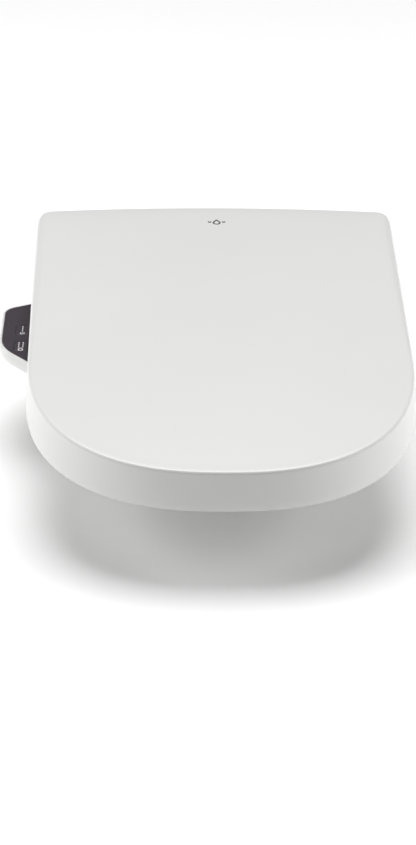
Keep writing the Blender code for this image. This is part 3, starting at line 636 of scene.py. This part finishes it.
def lid_column(x, y, spine_x, spine_y, normal):
    """A section of the lid, from the spine over the top, down the skirt and back up inside."""
    radius = lid_edge_radius(y)
    lift = smoothstep(LID_REAR_Y - LID_CORNER, LID_REAR_Y - 0.002, y)
    hem = blended(lid_hem(y), lid_top(y) - LID_REAR_LIP, lift)
    flare = LID_FLARE - LID_REAR_REACH * lift
    full = EDGE_FULLNESS * radius + LID_REAR_REACH * lift

    def at(outward, z):
        reach = outward + full
        return (x + normal.x * reach, y + normal.y * reach, z)

    def inside(share, inset, drop):
        px = blended(x - normal.x * inset, spine_x, share)
        py = blended(y - normal.y * inset, spine_y, share)
        crown = LID_CROWN * (1 - (1 - share) ** 2)
        return (px, py, lid_top(py) + crown - drop)

    column = [inside(share, radius, 0.0) for share in (1.0, 0.75, 0.5, 0.3, 0.16, 0.07, 0.02)]
    for aside, down in quarter(8):
        inset = radius * aside
        column.append(at(-inset, lid_top(y - normal.y * inset) - radius * down))
    high, low = lid_top(y) - radius, hem + LID_RIM
    for share in (0.25, 0.5, 0.75, 1.0):
        column.append(at(flare * share, blended(high, low, share)))
    for up, aside in quarter(3)[1:]:
        column.append(at(flare - LID_RIM * aside, low - LID_RIM * (1 - up)))
    for aside, up in quarter(2):
        column.append(at(flare - LID_SKIN + LID_FILLET * aside, hem + LID_FILLET * up))
    inner_radius = min(max(radius - LID_SKIN, 0.002), 0.006)
    roof = lid_top(y) - LID_SKIN
    column.append(at(-LID_SKIN, roof - inner_radius))
    for down, aside in quarter(4)[1:]:
        shift = inner_radius * aside
        drop = inner_radius * down + TOP_SLOPE * normal.y * shift
        column.append(at(-LID_SKIN - shift, roof - drop))
    step_in = LID_SKIN + inner_radius
    column.append(inside(0.10, step_in, LID_SKIN))
    for share in (0.115, 0.3, 0.5, 0.75, 1.0):
        column.append(inside(share, step_in, LID_SKIN + LID_ROOF_STEP))
    return column


def lid_rings():
    edge = d_outline(
        LID_HALF_WIDTH, LID_FRONT_Y, LID_CURVE, LID_REAR_Y, LID_CORNER, LID_REAR_BOW
    )
    spine = d_outline(
        LID_HALF_WIDTH - LID_SPINE_INSET, LID_FRONT_Y + LID_SPINE_INSET,
        LID_CURVE - LID_SPINE_INSET, LID_REAR_Y - LID_SPINE_INSET, LID_SPINE_CORNER,
    )
    columns = [
        lid_column(*here, *middle, normal)
        for here, middle, normal in zip(edge, spine, outward_normals(edge))
    ]
    return [list(ring) for ring in zip(*columns)]


def make_lid():
    return loft_piece("lid_cover", lid_rings(), "white_plastic", "lid", ["lid_shell"], 50)


def make_pad(name, node, body):
    """A rubber foot or buffer: a rounded block with a groove round it and a dimple below."""
    low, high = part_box(node)
    corner = (high.x - low.x) / 2 - 0.0006
    depth = high.z - low.z
    soft = min(0.0018, depth * 0.3)
    groove = low.z + depth * 0.72
    pairs = [(corner * 0.55, low.z + 0.0006), (corner * 0.42, low.z)]
    pairs += [(soft * inset, low.z + soft * rise) for inset, rise in quarter()]
    pairs += [(0.0, groove - 0.0005), (0.0006, groove), (0.0, groove + 0.0005), (0.0, high.z)]
    plan = rectangle(low.x, low.y, high.x, high.y, corner)
    loft_piece(name, layers(plan, pairs), "rubber", body, [node])


# Seat ring --------------------------------


def seat_stations():
    """Matching points on the ring's outer and inner edges, with the underside's height there."""
    outer = d_outline(
        SEAT_HALF_WIDTH, SEAT_FRONT_Y, SEAT_CURVE, SEAT_REAR_Y, SEAT_CORNER, steps=SEAT_PLAN_STEPS
    )
    inner = d_outline(
        HOLE_HALF_WIDTH, HOLE_FRONT_Y, HOLE_CURVE, HOLE_REAR_Y, HOLE_CORNER, steps=SEAT_PLAN_STEPS
    )
    stations = []
    for out, into in zip(outer, inner):
        bottom = SEAT_BOTTOM_Z + SEAT_BOTTOM_SLOPE * (out[1] - LID_FRONT_Y)
        if out[1] > SEAT_REAR_Y - BRIDGE_DEPTH:
            lift = 1 - smoothstep(BRIDGE_HALF_WIDTH, BRIDGE_END_X, abs(out[0]))
            bottom = blended(bottom, BRIDGE_BOTTOM_Z, lift)
        stations.append((Vector(out), Vector(into), bottom))
    return stations


def add_seat_ring(bm, section):
    """A ring with the same section all round.

    A section point is (share, distance, over_bottom, height): share of the way from the hole to
    the rim, a distance outwards, and a height from the top or, if over_bottom, the underside.
    The distances shrink where the ring is narrow.
    """
    rings = []
    for out, into, bottom in seat_stations():
        across = (out - into).normalized() * min(1.0, (out - into).length / SEAT_FULL_WIDTH)
        ring = []
        for share, distance, over_bottom, height in section:
            spot = into.lerp(out, share) + across * distance
            z = bottom + height if over_bottom else seat_top(spot.y) + height
            ring.append((spot.x, spot.y, z))
        rings.append(ring)
    add_loft(bm, rings, closed=True)


def subdivide(piece, levels):
    modifier = piece.modifiers.new("smooth", "SUBSURF")
    modifier.levels = modifier.render_levels = levels


def make_seat():
    top, low = False, True
    shell = [
        (0, 0.0006, low, 0), (0, 0, low, 0.0008), (0, 0, low, 0.004), (0, 0, top, -0.0190),
        (0, 0.0003, top, -0.0130), (0, 0.0030, top, -0.0080), (0, 0.0090, top, -0.0054),
        (0.25, 0, top, -0.0044), (0.45, 0, top, -0.0034), (0.62, 0, top, -0.0020),
        (0.78, 0, top, -0.0006), (1, -0.0110, top, 0.0001), (1, -0.0055, top, -0.0003),
        (1, -0.0020, top, -0.0026), (1, -0.0003, top, -0.0065), (1, 0, top, -0.0120),
        (1, 0, low, 0.004), (1, 0, low, 0.0008), (1, -0.0006, low, 0),
        (1, -0.0024, low, 0), (1, -0.0030, low, 0.0008), (1, -0.003, top, -0.0110),
        (1, -0.0075, top, -0.0050), (0.45, 0, top, -0.0068), (0, 0.0095, top, -0.0092),
        (0, 0.003, top, -0.0160), (0, 0.003, low, 0.0008), (0, 0.0024, low, 0),
    ]
    bm = bmesh.new()
    add_seat_ring(bm, shell)
    ring = finish_piece("seat_ring_shell", bm, "white_plastic", "seat", ["seat_upper_shell"], 180)
    subdivide(ring, 2)
    plate = [
        (0, 0.0034, low, 0.0009), (0, 0.0034, low, 0.0031), (0, 0.0038, low, 0.0035),
        (1, -0.0038, low, 0.0035), (1, -0.0034, low, 0.0031), (1, -0.0034, low, 0.0009),
        (1, -0.0038, low, 0.0005), (1, -0.0140, low, 0.0005), (1, -0.0148, low, 0.0013),
        (1, -0.0164, low, 0.0013), (1, -0.0172, low, 0.0005), (0, 0.0172, low, 0.0005),
        (0, 0.0164, low, 0.0013), (0, 0.0148, low, 0.0013), (0, 0.0140, low, 0.0005),
        (0, 0.0038, low, 0.0005),
    ]
    bm = bmesh.new()
    add_seat_ring(bm, plate)
    finish_piece("seat_base_plate", bm, "white_plastic", "seat", ["seat_lower_shell"], 30)


ARM = [
    (SEAT_REAR_Y + GAP, 0.0522, 0.0010), (-0.090, 0.0552, 0.020), (-0.036, 0.0600, 0.030),
    (-0.0075, 0.0718, 0.006), (0.0160, 0.0720, 0.0119), (0.0160, 0.0960, 0.0119),
    (-0.0110, 0.0942, 0.012), (-0.060, 0.0850, 0.030), (SEAT_REAR_Y + GAP, 0.0775, 0.0010),
]
LUG = [
    (HINGE_Y + 0.0110, HINGE_Z - 0.0110, 0.0108), (HINGE_Y + 0.0110, 0.1124, 0.0010),
    (HINGE_Y - 0.0110, 0.1100, 0.0010), (HINGE_Y - 0.0110, HINGE_Z - 0.0110, 0.0108),
]


def make_hinge_pieces():
    for kind, corners, body, rounding in (
        ("seat_arm", ARM, "seat", 0.0018), ("lid_lug", LUG, "lid", 0.0010)
    ):
        for side in ("left", "right"):
            node = "%s_%s" % (kind, side)
            low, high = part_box(node)
            bm = bmesh.new()
            add_block(bm, corners, low.x, high.x, rounding, "X")
            piece = finish_piece(node + "_eye", bm, "white_plastic", body, [node])
            cut_with(piece, [bore_cutter(EYE_BORE, low.x - 0.002, high.x + 0.002, HINGE_SHAFT, 40)])


# Main unit --------------------------------

BASE = [
    (base_high.x, base_low.y, BASE_FRONT_CORNER), (base_high.x, base_high.y, BASE_REAR_CORNER),
    (base_low.x, base_high.y, BASE_REAR_CORNER), (base_low.x, base_low.y, BASE_FRONT_CORNER),
]


def vent_cutters():
    """Slots in the rear wall, where the deodoriser's fan blows out."""
    shifts = [VENT_PITCH * i for i in range(VENT_COUNT)]
    return [box_cutter(VENT_LOW + shift, VENT_HIGH + shift, 0.001) for shift in shifts]


def make_base():
    z0, z1 = base_low.z, base_high.z
    soft = 0.0014
    pairs = [(WALL, BASE_UNDERSIDE_Z), (WALL, z0 + 0.0006), (WALL - 0.0006, z0)]
    pairs += [(soft * inset, z0 + soft * rise) for inset, rise in quarter()]
    pairs += [(0.0, z1 - 0.0006), (0.0005, z1), (WALL, z1), (WALL, BASE_FLOOR_Z)]
    rings = layers(BASE, pairs)
    piece = loft_piece("base_tray", rings, "white_plastic", "main_unit", ["body_base"])
    openings = (PLATE_SLOT, WINDOW_IN_BASE, BUTTON_HOLE, FILTER_HOLE)
    cut_with(piece, [
        *(box_cutter(*opening) for opening in openings),
        bore_cutter(INLET_HOLE, BASE_UNDERSIDE_Z - 0.004, BASE_FLOOR_Z + 0.004, INLET_PLACE),
        bore_cutter(GLAND_HOLE, BASE_UNDERSIDE_Z - 0.004, BASE_FLOOR_Z + 0.004, GLAND_PLACE),
        *vent_cutters(),
    ])


def cover_profile(inset):
    """The hood's side view as (y, z), from its rear foot over the hinge barrel to the front."""
    rear, front = HOOD_REAR_Y - inset, base_low.y + inset
    points = [(rear, COVER_FOOT_Z), (rear, 0.045), (rear, 0.054)]
    points += arc_points((HINGE_Y, HINGE_Z), BARREL_RADIUS - inset, -45, 105, 24)
    points += arc_points((NOSE_Y, NOSE_Z), NOSE_RADIUS - inset, 105, 180, 12)
    return points + [(front, 0.050), (front, COVER_FOOT_Z)]


def make_hood():
    """The hood is a sheet with rounded ends, open below, then given its wall."""
    rim = 0.0032
    columns = [(x, 0.0) for x in (-0.09, -0.045, 0.0, 0.045, 0.09)]
    for down, aside in quarter(6):
        x = COVER_HALF_WIDTH - rim * aside
        columns += [(-x, rim * down), (x, rim * down)]
    bm = bmesh.new()
    loops = []
    for x, inset in sorted(columns):
        loops.append([bm.verts.new((x, y, z)) for y, z in cover_profile(inset)])
    for first, second in zip(loops, loops[1:]):
        for i in range(len(first) - 1):
            bm.faces.new((first[i], first[i + 1], second[i + 1], second[i]))
    bm.faces.new(loops[0])
    bm.faces.new(loops[-1][::-1])
    piece = finish_piece("cover_hood", bm, "white_plastic", "main_unit", ["top_cover"])
    wall = piece.modifiers.new("wall", "SOLIDIFY")
    wall.thickness = COVER_WALL
    wall.offset = -1.0
    cut_with(piece, [
        box_cutter(*WINDOW_IN_HOOD),
        bore_cutter(COVER_BORE, -0.150, -0.140, HINGE_SHAFT),
        bore_cutter(COVER_BORE, 0.140, 0.150, HINGE_SHAFT),
    ])


def make_shoulders():
    """The cover's sides and rear deck, rounded along their tops."""
    seam, rim = 0.0006, 0.0025
    for side, name in ((-1, "left"), (1, "right")):
        inner = side * (COVER_HALF_WIDTH - 0.0008)
        outer = side * base_high.x
        corners = [
            (outer, base_low.y, BASE_FRONT_CORNER), (outer, HOOD_REAR_Y, 0.004),
            (inner, HOOD_REAR_Y, seam), (inner, base_low.y, seam),
        ]
        if side < 0:
            corners.reverse()
        rings = layers(corners, [(0.0, COVER_FOOT_Z)])
        for drop, inset in quarter():
            ring = []
            for x, y in rounded(shrink(corners, rim * inset)):
                top = lid_hem(min(y, HOOD_REAR_Y)) - HEM_GAP
                ring.append((x, y, top - rim * drop))
            rings.append(ring)
        shoulder = "cover_shoulder_" + name
        loft_piece(shoulder, rings, "white_plastic", "main_unit", ["top_cover"])
    front = HOOD_REAR_Y + GAP
    deck = [
        (base_high.x, front, 0.001), (base_high.x, base_high.y, BASE_REAR_CORNER),
        (base_low.x, base_high.y, BASE_REAR_CORNER), (base_low.x, front, 0.001),
    ]
    rings = layers(deck, edge_profile(COVER_FOOT_Z, DECK_Z, 0.0003, 0.0012))
    loft_piece("cover_deck", rings, "white_plastic", "main_unit", ["top_cover"])


def make_guard():
    """The frame round the nozzle window: a rounded bezel whose inner edge slopes back."""
    low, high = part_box("nozzle_guard")
    outer = rectangle(low.x, low.z, high.x, high.z, 0.003)
    inner = rectangle(low.x + 0.007, low.z + 0.0025, high.x - 0.007, high.z - 0.0055, 0.004)
    soft, crisp = 0.0014, 0.0009
    outside = [(0.0, high.y)] + [(soft * inset, low.y + soft * back) for back, inset in quarter()]
    inside = [(-crisp * over, low.y + crisp * back) for over, back in quarter()] + [(0.0, high.y)]
    rings = layers(outer, outside, "Y") + layers(inner, inside, "Y")
    loft_piece(
        "nozzle_bezel", rings, "white_plastic", "main_unit", ["nozzle_guard"], closed=True
    )


def rack_outline():
    """Rack teeth along the top of a nozzle, as (distance from the tip, height)."""
    pitch = math.pi * MODULE
    crest, root = PITCH_LINE + 0.0009, PITCH_LINE - 0.0011
    half_crest, half_root = 0.0003, 0.00095
    points = [(RACK_START, RACK_BASE), (RACK_END, RACK_BASE), (RACK_END, root)]
    centres = [PINION_AT + pitch / 2 + k * pitch for k in range(-10, 40)]
    for middle in reversed(centres):
        if RACK_START + 0.002 < middle < RACK_END - 0.002:
            points += [
                (middle + half_root, root), (middle + half_crest, crest),
                (middle - half_crest, crest), (middle - half_root, root),
            ]
    points.append((RACK_START, root))
    return points


def make_nozzles():
    """Wash wands: a domed tip, spray holes in its upper side, a seam ring and a toothed rack."""
    tilted = Matrix.Translation(NOZZLE_TIP) @ Matrix.Rotation(NOZZLE_TILT, 4, "X")
    along = Matrix.Rotation(-math.pi / 2, 4, "X")
    radius, groove = NOZZLE_RADIUS, NOZZLE_RADIUS - NOZZLE_GROOVE
    profile = [(0.0004, 0.0)]
    profile += [(radius * (1 - inset), NOZZLE_DOME * back) for inset, back in quarter(8)[1:]]
    profile += [
        (radius, 0.0180), (groove, 0.0182), (groove, 0.0188), (radius, 0.0190),
        (radius, NOZZLE_LENGTH - 0.0006), (radius - 0.0006, NOZZLE_LENGTH),
    ]
    for side, name, holes in ((-1, "rear", 3), (1, "front", 5)):
        body, node = name + "_wand", name + "_nozzle"
        bm = bmesh.new()
        add_turned(bm, profile, tilted @ Matrix.Translation((side * NOZZLE_X, 0, 0)) @ along, 48)
        wand = finish_piece(body + "_tube", bm, "white_plastic", body, [node])
        drills = []
        for i in range(holes):
            across = side * NOZZLE_X + SPRAY_SPREAD * math.sin(i * 2.4)
            spot = Matrix.Translation((across, SPRAY_START + SPRAY_STEP * (i % 3), 0.0))
            drills.append(bore_cutter(SPRAY_RADIUS, 0.0035, 0.0075, tilted @ spot, 16))
        cut_with(wand, drills)
        middle = side * (NOZZLE_X + RACK_OFFSET)
        rings = [
            [tilted @ Vector((x, y, z)) for y, z in rack_outline()]
            for x in (middle - RACK_HALF_WIDTH, middle + RACK_HALF_WIDTH)
        ]
        loft_piece(body + "_rack", rings, "white_plastic", body, [node], 20)


# Side panel -------------------------------


def key_corners(node):
    low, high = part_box(node)
    return rectangle(low.x, low.y, high.x, high.y, KEY_CORNER)


def make_panel_shells():
    tub_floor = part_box("panel_lower_shell")[0].z
    collar_low, collar_high = (corner.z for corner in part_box("panel_upper_shell"))
    seam = collar_low - 0.00005
    pairs = [(PANEL_BELLY * aside, tub_floor + PANEL_BELLY * up) for aside, up in quarter(8)]
    pairs += [
        (0.0, seam - 0.0001), (0.0001, seam), (PANEL_WALL, seam),
        (PANEL_WALL, tub_floor + PANEL_BELLY), (0.006, tub_floor + 0.003),
    ]
    rings = layers(PANEL, pairs)
    loft_piece("panel_tub", rings, "white_plastic", "main_unit", ["panel_lower_shell"])
    soft, lip, seat = COLLAR_ROUNDING, PANEL_RIM - 0.0003, collar_high - GLASS_DEPTH
    pairs = [(0.0, collar_low + 0.0001)]
    pairs += [(soft * aside, collar_high - soft * down) for down, aside in quarter(6)]
    pairs += [
        (PANEL_RIM - 0.0008, collar_high), (PANEL_RIM - 0.0004, collar_high - 0.0002),
        (lip, collar_high - 0.0006), (lip, seat), (0.0045, seat), (0.0045, collar_low),
        (0.0001, collar_low),
    ]
    rings = layers(PANEL, pairs)
    loft_piece(
        "panel_bezel", rings, "white_plastic", "main_unit", ["panel_upper_shell"], closed=True
    )


def make_panel_face():
    low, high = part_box("panel_face")
    bevel = 0.0003
    pairs = [(PANEL_RIM, low.z), (PANEL_RIM, high.z - bevel), (PANEL_RIM + bevel, high.z)]
    rings = layers(PANEL, pairs)
    face = loft_piece("panel_glass", rings, "black_panel", "main_unit", ["panel_face"])
    cut_with(face, [
        block_cutter(shrink(key_corners(node), -GAP), low.z - 0.01, high.z + 0.01)
        for node in BODY_OF_KEY
    ])
    for node, body in BODY_OF_KEY.items():
        key_low, key_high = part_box(node)
        bm = bmesh.new()
        add_block(bm, key_corners(node), key_low.z, key_high.z, KEY_ROUNDING)
        finish_piece(node + "_cap", bm, "black_panel", body, [node])


# Signs ------------------------------------


def add_stroke(bm, points, width, lift, place, closed=False):
    """A flat ribbon of ink along a line of (u, v) points; place() puts (u, v, height) in space."""
    last = len(points) - 1
    rings = []
    for i, point in enumerate(points):
        before = points[i - 1] if i or closed else points[0]
        after = points[(i + 1) % len(points)] if i < last or closed else points[-1]
        along = (Vector(after) - Vector(before)).normalized()
        side = Vector((-along.y, along.x)) * width / 2
        left, right = Vector(point) + side, Vector(point) - side
        rings.append([
            place(*left, lift), place(*right, lift), place(*right, 0.0), place(*left, 0.0)
        ])
    add_loft(bm, rings, closed)


def drop_points(middle, radius, steps=28):
    """A water drop: a circle whose top is drawn up to a point."""
    points = []
    for i in range(steps):
        turn = math.radians(-90 + 360 * i / steps)
        height = math.sin(turn)
        narrow = 1.0 if height < 0 else (1 - height) ** 0.75 * (1 + 0.3 * height)
        points.append((
            middle[0] + radius * math.cos(turn) * min(narrow, 1.0),
            middle[1] + radius * (height if height < 0 else height * 1.7),
        ))
    return points


def make_key_signs():
    """An on/off ring and a drop, each with dashes behind it, on the panel's keys."""
    for node, body in BODY_OF_KEY.items():
        low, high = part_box(node)
        place = Matrix.Translation(((low.x + high.x) / 2, (low.y + high.y) / 2, high.z))

        def on_key(u, v, height):
            return place @ Vector((u, v, height))

        bm = bmesh.new()
        if node == "key_power":
            stem = [(0, KEY_SIGN_Y + 0.0008), (0, KEY_SIGN_Y + 0.0030)]
            add_stroke(bm, arc_points((0, KEY_SIGN_Y), 0.0021, 130, 410), 0.0010, INK, on_key)
            add_stroke(bm, stem, 0.0010, INK, on_key)
            columns = (0.0,)
        else:
            drop = drop_points((0, KEY_SIGN_Y - 0.0004), 0.0024)
            add_stroke(bm, drop, 0.0011, INK, on_key, True)
            columns = (-0.0022, 0.0022)
        for u in columns:
            for v in KEY_DASH_Y:
                add_stroke(bm, [(u, v - 0.0014), (u, v + 0.0014)], 0.0011, INK, on_key)
        finish_piece(node + "_sign", bm, "light_ink", body)


def make_lid_sign(lid):
    """A drop between two ripples, laid on the lid's top."""
    tree = BVHTree.FromObject(lid, bpy.context.evaluated_depsgraph_get())

    def on_lid(u, v, height):
        above = Vector((LID_SIGN_X + u, LID_SIGN_Y + v, 0.5))
        hit = tree.ray_cast(above, Vector((0, 0, -1)))[0]
        return hit + Vector((0, 0, height))

    bm = bmesh.new()
    add_stroke(bm, drop_points((0, -0.0014), 0.0036), 0.0020, INK, on_lid, True)
    turns = [math.pi * i / 16 for i in range(17)]
    for side in (-1, 1):
        wave = [(side * (0.0058 + 0.0012 * turn), 0.0010 * math.cos(2 * turn)) for turn in turns]
        add_stroke(bm, wave, 0.0018, INK, on_lid)
    finish_piece("lid_sign", bm, "dark_ink", "lid")


# Fittings ---------------------------------


def make_bolt(side):
    node = "mounting_bolt_" + side
    low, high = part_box(node)
    place = Matrix.Translation(((low.x + high.x) / 2, 0, 0))
    core, tip = 0.0034, low.z + 0.0012
    profile = [
        (0.0008, 0.0058), (0.0022, 0.0058), (0.0024, 0.0074), (0.0060, 0.0072),
        (0.0084, 0.0062), (0.0090, 0.0046), (0.0090, 0.0043), (core, 0.0043),
        *levels_between(core, tip, 0.0035, 0.00025), (0.0026, low.z), (0.0006, low.z),
    ]
    bm = bmesh.new()
    add_turned(bm, profile, place, 24, thread(0.00125, 0.0005, tip, 0.0015))
    finish_piece("bolt_" + side, bm, "steel", "mount", [node], 50)


def make_washer(side):
    node = "bowl_washer_" + side
    low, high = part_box(node)
    place = Matrix.Translation(((low.x + high.x) / 2, 0, 0))
    bore, radius, soft = 0.0041, (high.x - low.x) / 2, (high.z - low.z) * 0.3
    profile = [
        (bore, low.z), (radius - soft, low.z), (radius, low.z + soft),
        (radius, high.z - soft), (radius - soft, high.z), (bore, high.z),
    ]
    bm = bmesh.new()
    add_turned(bm, profile, place, 40, closed=True)
    finish_piece("washer_" + side, bm, "rubber", "mount", [node])


def make_wing_nut(side):
    node = "wing_nut_" + side
    low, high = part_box(node)
    x, bore = (low.x + high.x) / 2, 0.0038
    hub = [
        (bore, low.z), (0.0090, low.z), (0.0100, low.z + 0.0010), (0.0094, high.z - 0.0035),
        (0.0105, high.z - 0.0025), (0.0105, high.z - 0.0003), (0.0102, high.z), (bore, high.z),
    ]
    bm = bmesh.new()
    add_turned(bm, hub, Matrix.Translation((x, 0, 0)), 40, closed=True)
    for turn in (-1, 1):
        inner, outer = x + turn * 0.0088, x + turn * 0.0208
        corners = [
            (inner, low.z + 0.0022, 0.0012), (outer, low.z + 0.0012, 0.0042),
            (outer, high.z - 0.0020, 0.0050), (inner, high.z - 0.0040, 0.0012),
        ]
        if turn < 0:
            corners.reverse()
        add_block(bm, corners, -0.0019, 0.0019, 0.0012, "Y", 8)
    finish_piece(node + "_body", bm, "grey_plastic", "mount", [node])


def make_water_inlet():
    core, start, end = 0.0103, -0.0020, -0.0215
    profile = [
        (0.0080, 0.0186), (0.0080, 0.0052), (0.0130, 0.0050), (0.0135, 0.0044), (0.0135, -0.0004),
        (0.0130, -0.0010), (core, -0.0012), *levels_between(core, end, start, 0.0004),
        (0.0095, -0.0225), (0.0070, -0.0225), (0.0045, 0.0), (0.0045, 0.0186),
    ]
    ripple = thread(0.0018, 0.0007, end + 0.0002, start + 0.0002)
    bm = bmesh.new()
    add_turned(bm, profile, INLET_PLACE, 48, ripple, closed=True)
    finish_piece("inlet_union", bm, "brass", "main_unit", ["water_inlet_fitting"], 50)


def make_cord_gland():
    """A gland with a ribbed boot that narrows downwards."""
    profile = [
        (0.0095, 0.0150), (0.0095, 0.0113), (0.0064, 0.0113), (0.0064, 0.0078), (0.0085, 0.0076),
        (0.0085, 0.0062),
    ]
    for i in range(5):
        z = 0.0045 - 0.0029 * i
        rib = 0.0080 - 0.00045 * i
        core = rib - 0.0011
        profile += [(rib, z + 0.0009), (rib, z - 0.0006), (core, z - 0.0010), (core, z - 0.0018)]
    profile += [(0.0056, -0.0100), (0.0036, -0.0100), (0.0036, 0.0150)]
    bm = bmesh.new()
    add_turned(bm, profile, GLAND_PLACE, 40, closed=True)
    finish_piece("cord_boot", bm, "dark_plastic", "main_unit", ["cord_gland"], 30)


def make_release_button():
    """A cap that fits its hole with some play, a flange behind it and ribs for the finger."""
    low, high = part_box("release_button")
    (_, y0, z0), (_, y1, z1) = BUTTON_HOLE
    play, lap = 0.0005, 0.0015
    bm = bmesh.new()
    cap = rectangle(y0 + play, z0 + play, y1 - play, z1 - play, 0.0022)
    add_block(bm, cap, low.x + 0.001, high.x - 0.0004, 0.0006, "X")
    flange = rectangle(y0 - lap, z0 - lap, y1 + lap, z1 + lap, 0.0020)
    add_block(bm, flange, low.x, low.x + 0.003, 0.0004, "X")
    for i in (-2, -1, 0, 1, 2):
        y = (y0 + y1) / 2 + 0.0035 * i
        rib = rectangle(y - 0.0005, z0 + 0.003, y + 0.0005, z1 - 0.003, 0.00045)
        add_block(bm, rib, high.x - 0.001, high.x, 0.0003, "X", 5)
    finish_piece("release_push", bm, "grey_plastic", "button", ["release_button"])


def make_filter():
    """An open tray with a ribbed front."""
    low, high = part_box("carbon_filter")
    pairs = [
        (0.0005, low.z), (0.0, low.z + 0.0005), (0.0, high.z - 0.0004), (0.0004, high.z),
        (0.0026, high.z), (0.0030, high.z - 0.0004), (0.0030, low.z + 0.0045),
    ]
    bm = bmesh.new()
    add_loft(bm, layers(rectangle(low.x, low.y, high.x, high.y, 0.002), pairs))
    for i in range(4):
        z = low.z + 0.0040 + 0.0030 * i
        rib = rectangle(low.y + 0.012, z - 0.0006, high.y - 0.012, z + 0.0006, 0.0005)
        add_block(bm, rib, high.x - 0.0005, high.x + 0.0006, 0.0004, "X", 5)
    finish_piece("filter_tray", bm, "grey_plastic", "filter", ["carbon_filter"])


# Nodes that keep their CAD shape ----------


def finish_cad_nodes():
    """Gives each CAD node that is still shown its procedural finish and slightly soft edges."""
    slots = {row["node"]: row["material_slot"] for row in frame["record"]["subparts"]}
    for name, node in frame["nodes"].items():
        if node.hide_render:
            continue
        node.data.materials.clear()
        node.data.materials.append(MATERIALS[slots[name]])
        for polygon in node.data.polygons:
            polygon.material_index = 0
        bevel = node.modifiers.new("soft_edges", "BEVEL")
        bevel.width = 0.0003
        bevel.segments = 2
        bevel.limit_method = "ANGLE"
        bevel.angle_limit = math.radians(40)


# Studio -----------------------------------


def make_floor():
    place = (0.0, 2.0, cad_box[0].z - 0.0005)
    bpy.ops.mesh.primitive_plane_add(size=FLOOR_SIZE, location=place)
    floor = bpy.context.object
    floor.name = "studio_floor"
    finish = Finish("studio_floor", 0.9)
    tint = finish.span(finish.noise(2.0, 2.0), 0.0, 1.0)
    finish.color(finish.mix(tint, FLOOR_TONE, FLOOR_TONE * 0.995))
    floor.data.materials.append(finish.material)


def make_softbox(name, place, power):
    """A square light aimed at the part, hidden from the camera and from reflections."""
    data = bpy.data.lights.new(name, "AREA")
    data.shape = "SQUARE"
    data.size = SOFTBOX_SIZE
    data.energy = power
    light = new_object(name, data)
    light.location = place
    light.rotation_euler = (SOFTBOX_TARGET - Vector(place)).to_track_quat("-Z", "Y").to_euler()
    light.visible_camera = False
    light.visible_glossy = False


def make_studio():
    world = bpy.data.worlds.new("studio")
    world.use_nodes = True
    background = world.node_tree.nodes["Background"]
    background.inputs["Color"].default_value = (1.0, 1.0, 1.0, 1.0)
    background.inputs["Strength"].default_value = WORLD_STRENGTH
    scene.world = world
    sky = bpy.data.lights.new("overhead", "SUN")
    sky.energy = OVERHEAD_POWER
    sky.angle = OVERHEAD_SPREAD
    new_object("overhead", sky).rotation_euler.x = OVERHEAD_TILT
    make_softbox("left", (-2.1, -0.35, 1.0), 33.0)
    make_softbox("right", (2.1, -0.35, 0.8), 29.0)
    scene.view_settings.view_transform = "Standard"


def make_camera():
    """From in front and above, a little left of the middle, with a slight roll."""
    level = Vector((math.cos(CAMERA_YAW), -math.sin(CAMERA_YAW), 0.0))
    ahead = Vector((math.sin(CAMERA_YAW), math.cos(CAMERA_YAW), 0.0))
    forward = ahead * math.cos(CAMERA_PITCH) - Vector((0, 0, math.sin(CAMERA_PITCH)))
    upright = level.cross(forward)
    right = level * math.cos(CAMERA_ROLL) + upright * math.sin(CAMERA_ROLL)
    up = upright * math.cos(CAMERA_ROLL) - level * math.sin(CAMERA_ROLL)
    data = bpy.data.cameras.new("camera")
    data.sensor_width = CAMERA_SENSOR
    data.lens = CAMERA_LENS
    camera = new_object("camera", data)
    rotation = Matrix((right, up, -forward)).transposed().to_4x4()
    camera.matrix_world = Matrix.Translation(CAMERA_PLACE) @ rotation
    scene.camera = camera


# Assembly ---------------------------------

lid = make_lid()
make_key_signs()
make_lid_sign(lid)
for pad in ("front_left", "front_right", "rear_left", "rear_right"):
    make_pad("seat_buffer_" + pad, "seat_foot_" + pad, "seat")
for pad in ("left", "right"):
    make_pad("lid_buffer_" + pad, "lid_pad_" + pad, "lid")
make_seat()
make_hinge_pieces()
make_base()
make_hood()
make_shoulders()
make_guard()
make_nozzles()
make_panel_shells()
make_panel_face()
for hand in ("left", "right"):
    make_bolt(hand)
    make_wing_nut(hand)
    make_washer(hand)
make_water_inlet()
make_cord_gland()
make_release_button()
make_filter()
finish_cad_nodes()
make_floor()
make_studio()
make_camera()
